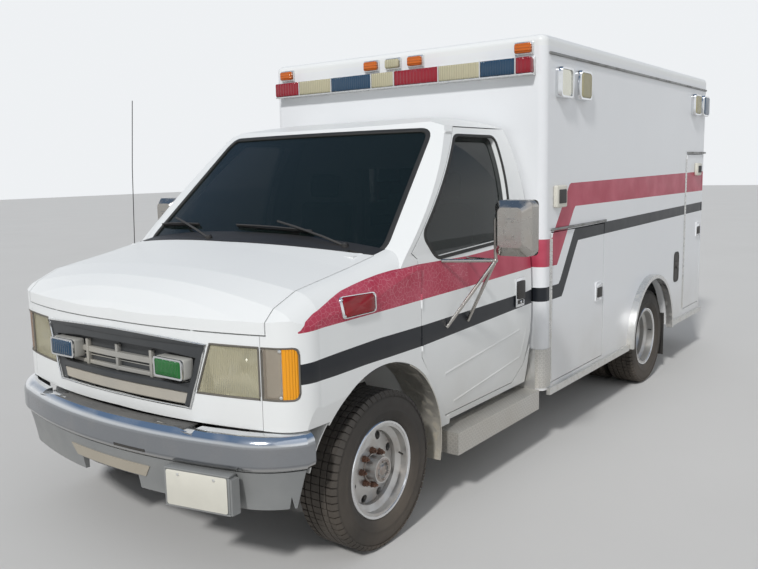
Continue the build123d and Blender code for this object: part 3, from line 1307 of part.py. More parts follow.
def rear_door_glass():
    """The left rear door's window."""
    x = (REAR_WINDOW_X[0] + SEAT, REAR_WINDOW_X[1] - SEAT)
    z = (REAR_WINDOW_Z[0] + SEAT, REAR_WINDOW_Z[1] - SEAT)
    return block(x, (MODULE_REAR - 22 - GLASS, MODULE_REAR - 22), z)


def light_bar():
    """The light bar across the module's forehead: a base with its row of lens blocks."""
    front = MODULE_FRONT - BAR_DEPTH
    bar = block(
        (-BAR_HALF, BAR_HALF), (MODULE_FRONT - BAR_BASE, MODULE_FRONT - SEAT),
        (BAR_Z - BAR_HEIGHT / 2, BAR_Z + BAR_HEIGHT / 2)
    )
    start = -BAR_HALF
    for width in BAR_LENSES:
        lens = block(
            (start + 3, start + width - 3), (front, MODULE_FRONT - BAR_BASE + 1),
            (BAR_Z - BAR_HEIGHT / 2 + 6, BAR_Z + BAR_HEIGHT / 2 - 6)
        )
        bar += fillet(lens.edges().filter_by(Axis.X), 12)
        start += width
    return bar


def module_lamps():
    """Clearance, flood, warning and tail lamps as blocks seated on the module's walls."""
    lamps = []
    for y0, y1, front in (
        (MODULE_FRONT - MARKER[2], MODULE_FRONT - SEAT, 1),
        (MODULE_REAR + SEAT, MODULE_REAR + MARKER[2], 0)
    ):
        for x in MARKER_X:
            lamps.append(
                block(
                    (x - MARKER[0] / 2, x + MARKER[0] / 2), (y0, y1),
                    (MARKER_Z - MARKER[1] / 2, MARKER_Z + MARKER[1] / 2)
                )
            )
    for side in (1, -1):
        x = sorted((side * (MODULE_HALF + SEAT), side * (MODULE_HALF + FLOOD[2])))
        for y, z in FLOODS:
            lamps.append(block(x, (y - FLOOD[0] / 2, y + FLOOD[0] / 2), (z - FLOOD[1] / 2, z + FLOOD[1] / 2)))
        for x_mid, z, width, height in REAR_LAMPS:
            x = (side * x_mid - width / 2, side * x_mid + width / 2)
            lamps.append(block(x, (MODULE_REAR + SEAT, MODULE_REAR + 40), (z - height / 2, z + height / 2)))
    return Compound([lamp.solid() for lamp in lamps])


def fenderette():
    """The polished lip round a left rear wheel's opening, with its straight legs down the skirt."""
    inner = WHEEL_ARCH - 4
    x = (MODULE_HALF + SEAT, MODULE_HALF + FENDERETTE_OUT)
    lip = barrel(*x, REAR_Y, AXLE_Z, inner + FENDERETTE) - barrel(x[0] - 1, x[1] + 1, REAR_Y, AXLE_Z, inner)
    lip &= block((0, 1500), (REAR_Y - 600, REAR_Y + 600), (AXLE_Z, 1200))
    for side in (-1, 1):
        y = sorted((REAR_Y + side * inner, REAR_Y + side * (inner + FENDERETTE)))
        lip += block(x, y, (SKIRT_Z - 20, AXLE_Z + 1))
    return lip


def module_trim():
    """Fenderettes, rub rails along the skirts, and the tread plate round the front lower corners."""
    x = (MODULE_HALF + SEAT, MODULE_HALF + RUB_RAIL[0])
    z = (SKIRT_Z - 30, SKIRT_Z - 30 + RUB_RAIL[1])
    outer = WHEEL_ARCH + FENDERETTE
    pieces = [fenderette().solid()]
    for y in ((MODULE_FRONT + CORNER, REAR_Y - outer), (REAR_Y + outer, MODULE_REAR - CORNER)):
        pieces.append(block(x, y, z).solid())
    pieces.append(
        block(
            (END_LEG_X + 60, MODULE_HALF - CORNER), (MODULE_FRONT - 4, MODULE_FRONT - SEAT),
            (SKIRT_Z, KICK_Z)
        ).solid()
    )
    left = Compound(pieces)
    return both_sides(left)


def running_boards():
    """The step under each cab door, as a folded plate, with the brackets that hold it to the rail."""
    plate = block(BOARD_X, BOARD_Y, (BOARD_BOTTOM, BOARD_TOP))
    plate -= block(
        (BOARD_X[0] - 1, BOARD_X[1] - BOARD_PLATE), (BOARD_Y[0] + BOARD_PLATE, BOARD_Y[1] - BOARD_PLATE),
        (BOARD_BOTTOM - 1, BOARD_TOP - BOARD_PLATE)
    )
    for y in (BOARD_Y[0] + 160, BOARD_Y[1] - 160):
        plate += block(
            (RAIL_X + RAIL_WIDTH / 2 + SEAT, BOARD_X[0] + 40), (y - 25, y + 25),
            (BOARD_TOP - 60, BOARD_TOP - BOARD_PLATE + 1)
        )
        plate += block(
            (RAIL_X + RAIL_WIDTH / 2 + SEAT, RAIL_X + RAIL_WIDTH / 2 + 12), (y - 25, y + 25),
            (BOARD_TOP - 60, RAIL_BOTTOM + 60)
        )
    return both_sides(plate)


def rear_step():
    """The rear step: an open box of tread plate on two arms from the rails."""
    y = (MODULE_REAR + 12, REAR_Y + REAR_OVERHANG)
    step = block((-STEP_HALF, STEP_HALF), y, (STEP_Z - STEP_FACE, STEP_Z))
    step -= block((-STEP_HALF + 8, STEP_HALF - 8), (y[0] - 1, y[1] - 8), (STEP_Z - STEP_FACE - 1, STEP_Z - 8))
    arm = block((RAIL_X - 30, RAIL_X + 30), (MODULE_REAR + SEAT, y[1] - 60), (STEP_Z - 60, STEP_Z - 4))
    foot = block(
        (RAIL_X - 34, RAIL_X + 34), (MODULE_REAR + SEAT, MODULE_REAR + 11), (STEP_Z - 60, RAIL_TOP - 20)
    )
    return step + arm + foot + mirror(arm + foot, about=Plane.YZ)


def splash_guards():
    """The bent sheets behind the front wheels and the flaps behind the rear ones."""
    guard = barrel(*GUARD_X, FRONT_Y, ARCH_Z, ARCH_RADIUS - SEAT)
    guard -= barrel(GUARD_X[0] - 1, GUARD_X[1] + 1, FRONT_Y, ARCH_Z, ARCH_RADIUS - LINER)
    guard &= block((0, 1200), (FRONT_Y + 200, FRONT_Y + 600), (BOARD_BOTTOM, 900))
    arch_edge = AXLE_Z + (WHEEL_ARCH ** 2 - FLAP_BEHIND ** 2) ** 0.5 - SEAT
    flap = block(
        (DUAL_OUTER_X - DUAL_SPACING - 100, DUAL_OUTER_X + 100),
        (REAR_Y + FLAP_BEHIND - FLAP, REAR_Y + FLAP_BEHIND),
        (FLAP_LOW, FLOOR_BOTTOM - SEAT),
    )
    flap -= block((MODULE_HALF - WALL - GAP, 1200), (REAR_Y, REAR_Y + 600), (arch_edge, 900))
    return both_sides(guard), both_sides(flap)


def build():
    """Every node of the ambulance by its name."""
    nodes = {
        "chassis_frame": chassis_frame(),
        "cross_members": cross_members(),
        "front_axle": front_axle(),
        "rear_axle": rear_axle(),
        "engine_block": engine_block(),
        "exhaust": exhaust(),
        "fuel_tank": fuel_tank(),
        "radiator": radiator(),
        "cab_shell": cab_shell(),
        "nose_panel": nose_panel(),
        "grille": grille(),
        "front_lamps": front_lamps(),
        "fenders": both_sides(fender()),
        "cowl": cowl(),
        "front_bumper": front_bumper(),
        "front_valance": front_valance(),
        "windscreen": windscreen(),
        "dashboard": dashboard(),
        "seats": seats(),
        "light_bar": light_bar(),
        "module_floor": module_floor(),
        "wheel_wells": wheel_wells(),
        "module_sides": module_sides(),
        "module_ends": module_ends(),
        "module_roof": module_roof(),
        "compartments": compartments(),
        "cabinets": cabinets(),
        "module_lamps": module_lamps(),
        "module_trim": module_trim(),
        "running_boards": running_boards(),
        "rear_step": rear_step(),
        "hood": hood(),
    }
    nodes["splash_guards"], nodes["mud_flaps"] = splash_guards()
    nodes |= left_and_right("cab_door", cab_door())
    nodes |= left_and_right("cab_door_glass", door_glass())
    nodes |= left_and_right("mirror", mirror_head())
    nodes |= left_and_right("rear_door", rear_door())
    nodes |= left_and_right("rear_door_glass", rear_door_glass())
    for row in SIDE_DOORS:
        nodes["door_" + row[0]] = side_door(row)
        if row[0] == "side":
            nodes["door_side_glass"] = side_door_glass(row)
    nodes |= left_and_right("knuckle", at_front(knuckle()))
    nodes |= left_and_right("front_rim", at_front(front_rim()))
    nodes |= left_and_right("front_tyre", at_front(tyre(FRONT_TRACK / 2)))
    nodes |= left_and_right("rear_rims", at_rear(rear_rims()))
    twins = Compound([tyre(DUAL_OUTER_X).solid(), tyre(DUAL_OUTER_X - DUAL_SPACING).solid()])
    nodes |= left_and_right("rear_tyres", at_rear(twins))
    return nodes


os.makedirs("parts", exist_ok=True)
for name, shape in build().items():
    export_step(shape, "parts/" + name + ".step")
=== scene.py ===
"""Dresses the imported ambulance: finishes, lamps, trim, tyres, seats, floor, light and camera."""
import logging
from dataclasses import dataclass
from enum import Enum
from functools import lru_cache
from math import cos, radians, sin, sqrt, tau
from typing import Iterable, Optional, Sequence

import bmesh
import bpy
from mathutils import Euler, Matrix, Vector
from mathutils.bvhtree import BVHTree


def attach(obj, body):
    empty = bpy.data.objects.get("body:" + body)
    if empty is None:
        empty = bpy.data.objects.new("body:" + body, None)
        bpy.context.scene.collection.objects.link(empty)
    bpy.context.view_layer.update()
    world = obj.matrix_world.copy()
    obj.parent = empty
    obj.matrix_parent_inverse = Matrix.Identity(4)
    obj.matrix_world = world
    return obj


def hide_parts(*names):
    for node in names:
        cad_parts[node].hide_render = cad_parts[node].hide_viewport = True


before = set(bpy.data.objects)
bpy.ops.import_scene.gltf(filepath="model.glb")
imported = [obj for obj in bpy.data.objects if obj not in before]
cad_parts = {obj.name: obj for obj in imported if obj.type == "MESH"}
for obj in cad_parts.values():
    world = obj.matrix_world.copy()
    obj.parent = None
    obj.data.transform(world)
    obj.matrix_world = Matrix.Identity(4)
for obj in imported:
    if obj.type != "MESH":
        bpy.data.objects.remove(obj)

LOG = logging.getLogger("ambulance")
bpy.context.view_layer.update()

Point = tuple[float, float, float]
Pair = tuple[float, float]
Line = Sequence[Pair]
Colour = tuple[float, float, float]
Socket = bpy.types.NodeSocket

FRONT_Y = -2.22
REAR_Y = 1.285
AXLE_Z = 0.372
MODULE_FRONT = -0.689
MODULE_REAR = 2.8
MODULE_HALF = 1.067
NOSE_Y = FRONT_Y - 0.716

# How far trim stands off the sheet that it lies on
OFF = 0.0005


class Side(Enum):
    """The two sides of the vehicle, with the sign of X."""

    LEFT = 1
    RIGHT = -1

    @property
    def tag(self) -> str:
        """The side's word in names."""
        return self.name.lower()


class Along(Enum):
    """The axis that a turned or drawn-out form runs along."""

    X = 0
    Y = 1
    Z = 2


# Materials


class Graph:
    """A node material under construction, with its shader and its object coordinates."""

    def __init__(self, name: str) -> None:
        """Starts an empty principled material.

        Args:
            name: The material's name.
        """
        self.material = bpy.data.materials.new(name)
        self.material.use_nodes = True
        self.tree = self.material.node_tree
        self.shader = self.tree.nodes["Principled BSDF"]
        coordinates = self.tree.nodes.new("ShaderNodeTexCoord")
        self.place = coordinates.outputs["Object"]
        self.normal = coordinates.outputs["Normal"]

    def feed(self, socket: Socket, value: object) -> None:
        """Links a socket to another or sets its value."""
        if isinstance(value, Socket):
            self.tree.links.new(value, socket)
        else:
            socket.default_value = value

    def set(self, **values: object) -> "Graph":
        """Sets the shader's inputs by name, with underscores for spaces.

        Args:
            values: Input names and what goes into them.

        Returns:
            This graph.
        """
        for name, value in values.items():
            if isinstance(value, tuple) and len(value) == 3:
                value = (*value, 1.0)
            self.feed(self.shader.inputs[name.replace("_", " ")], value)
        return self

    def math(self, operation: str, a: object, b: object = 0.0, clamp: bool = False) -> Socket:
        """One arithmetic node.

        Args:
            operation: The node's operation.
            a: First input.
            b: Second input.
            clamp: Whether the result stays from 0 to 1.

        Returns:
            The result's socket.
        """
        node = self.tree.nodes.new("ShaderNodeMath")
        node.operation = operation
        node.use_clamp = clamp
        self.feed(node.inputs[0], a)
        self.feed(node.inputs[1], b)
        return node.outputs[0]

    def times(self, a: object, b: object, clamp: bool = False) -> Socket:
        """A product."""
        return self.math("MULTIPLY", a, b, clamp)

    def split(self, vector: Socket) -> tuple[Socket, ...]:
        """The X, Y and Z of a vector."""
        node = self.tree.nodes.new("ShaderNodeSeparateXYZ")
        self.feed(node.inputs[0], vector)
        return tuple(node.outputs)

    def noise(self, scale: float, detail: float = 4.0, stretch: Point = (1.0, 1.0, 1.0)) -> Socket:
        """Noise from object coordinates.

        Args:
            scale: Cells per metre.
            detail: Octaves.
            stretch: How the coordinates are scaled before.

        Returns:
            The noise, from 0 to 1.
        """
        mapping = self.tree.nodes.new("ShaderNodeMapping")
        mapping.inputs["Scale"].default_value = stretch
        self.feed(mapping.inputs["Vector"], self.place)
        node = self.tree.nodes.new("ShaderNodeTexNoise")
        node.inputs["Scale"].default_value = scale
        node.inputs["Detail"].default_value = detail
        self.feed(node.inputs["Vector"], mapping.outputs[0])
        return node.outputs["Fac"]

    def ramp(self, value: object, stops: Sequence[tuple[float, Colour]]) -> Socket:
        """A colour ramp.

        Args:
            value: What picks the place on it.
            stops: Place and colour of each stop.

        Returns:
            The colour's socket.
        """
        node = self.tree.nodes.new("ShaderNodeValToRGB")
        self.feed(node.inputs[0], value)
        elements = node.color_ramp.elements
        while len(elements) < len(stops):
            elements.new(0.5)
        for element, (place, colour) in zip(elements, sorted(stops)):
            element.position = place
            element.color = (*colour, 1.0)
        return node.outputs[0]

    def blend(self, share: object, a: object, b: object) -> Socket:
        """A mix of two colours.

        Args:
            share: How much of the second.
            a: First colour.
            b: Second colour.

        Returns:
            The colour's socket.
        """
        node = self.tree.nodes.new("ShaderNodeMix")
        node.data_type = "RGBA"
        self.feed(node.inputs[0], share)
        for socket, value in ((node.inputs[6], a), (node.inputs[7], b)):
            self.feed(socket, (*value, 1.0) if isinstance(value, tuple) else value)
        return node.outputs[2]

    def bump(self, height: Socket, depth: float, strength: float = 1.0) -> "Graph":
        """Raises the surface by a height.

        Args:
            height: The relief, from 0 to 1.
            depth: Metres from 0 to 1.
            strength: How much of it shows.

        Returns:
            This graph.
        """
        node = self.tree.nodes.new("ShaderNodeBump")
        node.inputs["Strength"].default_value = strength
        node.inputs["Distance"].default_value = depth
        self.feed(node.inputs["Height"], height)
        self.feed(self.shader.inputs["Normal"], node.outputs[0])
        return self

    def dust(self, low: float, high: float) -> Socket:
        """How much dust lies at a height: full at the low one, none at the high one, broken by noise."""
        z = self.split(self.place)[2]
        fall = self.math("DIVIDE", self.math("SUBTRACT", high, z), high - low, clamp=True)
        return self.times(fall, self.times(self.noise(3.0, 6.0), 1.5), clamp=True)


# The livery's edges as (y, z) from front to rear, and the span of the ramps that hold them
SPAN_Y = (-3.2, 3.2)
SPAN_Z = 3.0
NOSE_RED_LOW = (
    (-0.539, 1.113), (-0.404, 1.12), (-0.245, 1.123), (-0.071, 1.126), (0.118, 1.129), (0.762, 1.138),
    (1.472, 1.153),
)
NOSE_RED_HIGH = (
    (-0.539, 1.113), (-0.505, 1.156), (-0.459, 1.181), (-0.409, 1.198), (-0.334, 1.224), (-0.259, 1.247),
    (-0.176, 1.262), (-0.085, 1.277), (0.004, 1.289), (0.099, 1.297), (0.314, 1.302), (0.764, 1.296),
    (1.47, 1.321),
)
NOSE_BLACK_LOW = ((-0.54, 0.902), (-0.351, 0.902), (-0.151, 0.907), (0.314, 0.906), (1.408, 0.939))
NOSE_BLACK_HIGH = ((-0.54, 0.986), (-0.315, 0.998), (-0.039, 1.008), (0.315, 1.006), (1.407, 1.017))
BOX_RED_LOW = ((0.19, 1.149), (0.455, 1.497), (3.489, 1.495))
BOX_RED_HIGH = ((0.106, 1.317), (0.372, 1.644), (3.489, 1.673))
BOX_BLACK_LOW = ((0.0, 0.942), (0.269, 0.943), (0.511, 1.275), (3.489, 1.312))
BOX_BLACK_HIGH = ((0.0, 1.028), (0.222, 1.028), (0.46, 1.356), (3.489, 1.391))


def stripe_edge(nose: Line, box: Line) -> list[Pair]:
    """One edge of a stripe from the nose to the rear, from heights along the cab and along the box."""
    return [(FRONT_Y + y, z) for y, z in nose] + [(MODULE_FRONT + y, z) for y, z in box]


RED = (0.4, 0.035, 0.07)
STRIPE_BLACK = (0.012, 0.014, 0.018)


@dataclass(frozen=True)
class Paint:
    """Gloss paint with a little ripple, dust low down, and the livery's stripes if it has them."""

    name: str
    colour: Colour = (0.8, 0.81, 0.8)
    roughness: float = 0.3
    stripes_from_x: Optional[float] = None
    dust_from: float = 0.35
    dust_to: float = 0.95

    def edge(self, graph: Graph, line: Line) -> Socket:
        """A stripe's edge height at each Y, as one ramp.

        Args:
            graph: The material's graph.
            line: The edge's corners as (y, z).

        Returns:
            The height's socket.
        """
        y = graph.split(graph.place)[1]
        share = graph.math("DIVIDE", graph.math("SUBTRACT", y, SPAN_Y[0]), SPAN_Y[1] - SPAN_Y[0])
        stops = [((p - SPAN_Y[0]) / (SPAN_Y[1] - SPAN_Y[0]), (z / SPAN_Z,) * 3) for p, z in line]
        return graph.times(graph.ramp(share, stops), SPAN_Z)

    def band(self, graph: Graph, low: Line, high: Line) -> Socket:
        """Where the surface lies between two edges on the vehicle's sides."""
        x, y, z = graph.split(graph.place)
        begun = graph.math("GREATER_THAN", y, low[0][0])
        above = graph.times(begun, graph.math("GREATER_THAN", z, self.edge(graph, low)))
        under = graph.math("LESS_THAN", z, self.edge(graph, high))
        out = graph.math("GREATER_THAN", graph.math("ABSOLUTE", x), self.stripes_from_x)
        return graph.times(graph.times(above, under), out)

    def make(self) -> bpy.types.Material:
        """Builds the material."""
        graph = Graph(self.name)
        colour = graph.blend(graph.noise(1.4, 3.0), tuple(c * 0.96 for c in self.colour), self.colour)
        if self.stripes_from_x is not None:
            faded = graph.ramp(graph.noise(5.0, 8.0), [(0.38, RED), (0.7, (0.5, 0.085, 0.13))])
            crackle = graph.tree.nodes.new("ShaderNodeTexVoronoi")
            crackle.feature = "DISTANCE_TO_EDGE"
            crackle.inputs["Scale"].default_value = 42.0
            graph.feed(crackle.inputs["Vector"], graph.place)
            fine = graph.math("LESS_THAN", crackle.outputs["Distance"], 0.025)
            ahead = graph.math("LESS_THAN", graph.split(graph.place)[1], FRONT_Y + 0.75)
            worn = graph.times(graph.times(fine, ahead), 0.35)
            faded = graph.blend(worn, faded, (0.7, 0.42, 0.45))
            red = (stripe_edge(NOSE_RED_LOW, BOX_RED_LOW), stripe_edge(NOSE_RED_HIGH, BOX_RED_HIGH))
            black = (stripe_edge(NOSE_BLACK_LOW, BOX_BLACK_LOW), stripe_edge(NOSE_BLACK_HIGH, BOX_BLACK_HIGH))
            colour = graph.blend(self.band(graph, *red), colour, faded)
            colour = graph.blend(self.band(graph, *black), colour, STRIPE_BLACK)
        dirt = graph.times(graph.dust(self.dust_from, self.dust_to), 0.45)
        colour = graph.blend(dirt, colour, (0.42, 0.38, 0.31))
        rough = graph.math("ADD", self.roughness, graph.times(graph.noise(9.0, 5.0), 0.16))
        graph.set(
            Base_Color=colour, Roughness=rough, Specular_IOR_Level=0.32, Coat_Weight=0.1,
            Coat_Roughness=0.08
        )
        return graph.bump(graph.noise(160.0, 2.0), 0.0006, 0.12).material


@dataclass(frozen=True)
class Metal:
    """Bare or plated metal, with smears, scratches and rust or dust where asked, and a painted reflection
    banded by facing where asked.
    """

    name: str
    colour: Colour
    roughness: float = 0.25
    metallic: float = 1.0
    stain: Colour = (0.32, 0.25, 0.18)
    stained: float = 0.15
    grain: float = 25.0
    relief: float = 0.0004
    low_dust: float = 0.0
    # Whether the colour carries a painted reflection, in bands by which way the surface faces
    painted_reflection: bool = False

    def plain(self, graph: Graph) -> object:
        """The clean colour: one tone, or a painted reflection of sky and ground, brightest where the plating
        faces up, darkest and cooler where it faces ahead and a little down, and grey where it faces down.
        """
        if not self.painted_reflection:
            return self.colour
        # Painted reflection: grey facing down, dark facing ahead, bright facing up
        tilt = graph.math("ADD", graph.times(graph.split(graph.normal)[2], 0.5), 0.5)
        low, dark, middle = (0.5, 0.5, 0.5), (0.27, 0.28, 0.3), (0.46, 0.48, 0.5)
        return graph.ramp(tilt, [(0.28, low), (0.44, dark), (0.6, middle), (0.8, self.colour)])

    def make(self) -> bpy.types.Material:
        """Builds the material."""
        graph = Graph(self.name)
        patches = graph.ramp(graph.noise(self.grain, 8.0), [(0.48, (0.0,) * 3), (0.72, (1.0,) * 3)])
        share = graph.times(patches, self.stained)
        if self.low_dust:
            share = graph.math("ADD", share, graph.times(graph.dust(0.25, 0.75), self.low_dust), clamp=True)
        streaks = graph.times(graph.noise(self.grain * 3, 4.0, (1, 1, 8)), 0.1)
        rough = graph.math("ADD", graph.times(share, 0.5), graph.math("ADD", self.roughness, streaks))
        colour = graph.blend(share, self.plain(graph), self.stain)
        graph.set(
            Base_Color=colour, Metallic=graph.math("SUBTRACT", self.metallic, share, True), Roughness=rough
        )
        return graph.bump(graph.noise(self.grain * 6, 3.0), self.relief, 0.3).material


@dataclass(frozen=True)
class TreadPlate:
    """Aluminium plate with raised tread bars, dusty."""

    name: str
    pitch: float = 0.03
    colour: Colour = (0.7, 0.69, 0.66)

    def bars(self, graph: Graph, shift: float, a: Socket, b: Socket) -> Socket:
        """One family of slanted bars in the plane of two coordinates."""
        def cell(value: Socket, offset: float) -> Socket:
            """The distance from a cell's middle along one coordinate."""
            moved = graph.math("ADD", graph.math("DIVIDE", value, self.pitch), offset)
            return graph.math("ABSOLUTE", graph.math("SUBTRACT", graph.math("FRACT", moved), 0.5))
        along = graph.math("ADD", a, b)
        across = graph.math("SUBTRACT", a, b)
        first = cell(along, shift) if shift else cell(across, 0.0)
        second = cell(across, shift) if shift else cell(along, 0.0)
        narrow = graph.math("LESS_THAN", first, 0.12)
        return graph.times(narrow, graph.math("LESS_THAN", second, 0.36))

    def make(self) -> bpy.types.Material:
        """Builds the material."""
        graph = Graph(self.name)
        x, y, z = graph.split(graph.place)
        front, flat = (
            graph.math(
                "GREATER_THAN", graph.math("ABSOLUTE", turned), 0.7
            ) for turned in graph.split(graph.normal)[1:]
        )
        pair = []
        for share, value in ((front, y), (flat, z)):
            node = graph.tree.nodes.new("ShaderNodeMix")
            for index, given in ((0, share), (2, value), (3, x)):
                graph.feed(node.inputs[index], given)
            pair.append(node.outputs[0])
        raised = graph.math("MAXIMUM", self.bars(graph, 0.0, *pair), self.bars(graph, 0.5, *pair))
        dirt = graph.times(graph.dust(0.2, 0.9), 0.55)
        colour = graph.blend(
            dirt, graph.blend(raised, tuple(c * 0.82 for c in self.colour), self.colour),
            (0.36, 0.31, 0.23)
        )
        graph.set(Base_Color=colour, Metallic=graph.math("SUBTRACT", 0.9, dirt), Roughness=0.42)
        return graph.bump(raised, 0.0022, 0.8).material


@dataclass(frozen=True)
class Glass:
    """Tinted window glass."""

    name: str
    colour: Colour = (0.004, 0.008, 0.007)
    alpha: float = 0.68
    roughness: float = 0.02

    def make(self) -> bpy.types.Material:
        """Builds the material."""
        graph = Graph(self.name)
        smear = graph.math("ADD", self.roughness, graph.times(graph.noise(4.0, 6.0), 0.03))
        graph.set(Base_Color=graph.blend(graph.noise(2.0), self.colour, tuple(c * 1.5 for c in self.colour)))
        graph.set(Roughness=smear, Alpha=self.alpha, Specular_IOR_Level=0.5)
        return graph.material


@dataclass(frozen=True)
class Lens:
    """A coloured or clear moulded lens with flutes, dots or plain."""

    name: str
    colour: Colour
    alpha: float = 1.0
    flutes: float = 0.0
    along: Along = Along.X
    haze: Colour = (0.55, 0.5, 0.36)
    hazed: float = 0.0
    glow: float = 0.0

    def make(self) -> bpy.types.Material:
        """Builds the material."""
        graph = Graph(self.name)
        patches = graph.times(graph.noise(7.0, 6.0), self.hazed * 2.0, clamp=True)
        graph.set(Base_Color=graph.blend(patches, self.colour, self.haze), Roughness=0.12 + 0.35 * self.hazed)
        graph.set(Alpha=self.alpha, Specular_IOR_Level=0.4, Coat_Weight=0.2, Coat_Roughness=0.05)
        if self.glow:
            graph.set(Emission_Color=self.colour, Emission_Strength=self.glow)
        if self.flutes:
            wave = graph.math(
                "SINE", graph.times(graph.split(graph.place)[self.along.value], self.flutes * tau)
            )
            return graph.bump(wave, 0.002, 0.9).material
        return graph.bump(graph.noise(60.0, 2.0), 0.0004, 0.2).material


@dataclass(frozen=True)
class Plastic:
    """Moulded plastic or rubber, with a fine grain and dust."""

    name: str
    colour: Colour
    roughness: float = 0.5
    grain: float = 260.0
    relief: float = 0.0008
    dust: Colour = (0.3, 0.26, 0.2)
    dusty: float = 0.2
    dust_to: float = 3.0

    def make(self) -> bpy.types.Material:
        """Builds the material."""
        graph = Graph(self.name)
        dirt = graph.times(graph.dust(0.0, self.dust_to), self.dusty)
        tone = graph.blend(
            graph.noise(6.0, 6.0), tuple(c * 0.8 for c in self.colour), tuple(c * 1.2 for c in self.colour)
        )
        graph.set(Base_Color=graph.blend(dirt, tone, self.dust))
        graph.set(Roughness=graph.math("ADD", self.roughness, graph.times(graph.noise(20.0, 4.0), 0.18)))
        return graph.bump(graph.noise(self.grain, 2.0), self.relief, 0.35).material


@dataclass(frozen=True)
class Cloth:
    """Woven seat cloth with a ribbed weave."""

    name: str
    colour: Colour = (0.16, 0.18, 0.165)

    def make(self) -> bpy.types.Material:
        """Builds the material."""
        graph = Graph(self.name)
        x, y, z = graph.split(graph.place)
        warp = graph.math("SINE", graph.times(x, 1400.0))
        weft = graph.math("SINE", graph.times(graph.math("ADD", y, z), 1400.0))
        weave = graph.times(graph.math("ADD", graph.times(warp, weft), 1.0), 0.5)
        colour = graph.blend(
            weave, tuple(c * 0.75 for c in self.colour), tuple(c * 1.25 for c in self.colour)
        )
        graph.set(
            Base_Color=graph.blend(graph.noise(4.0, 5.0), colour, self.colour), Roughness=0.92,
            Sheen_Weight=0.3
        )
        return graph.bump(weave, 0.0008, 0.6).material


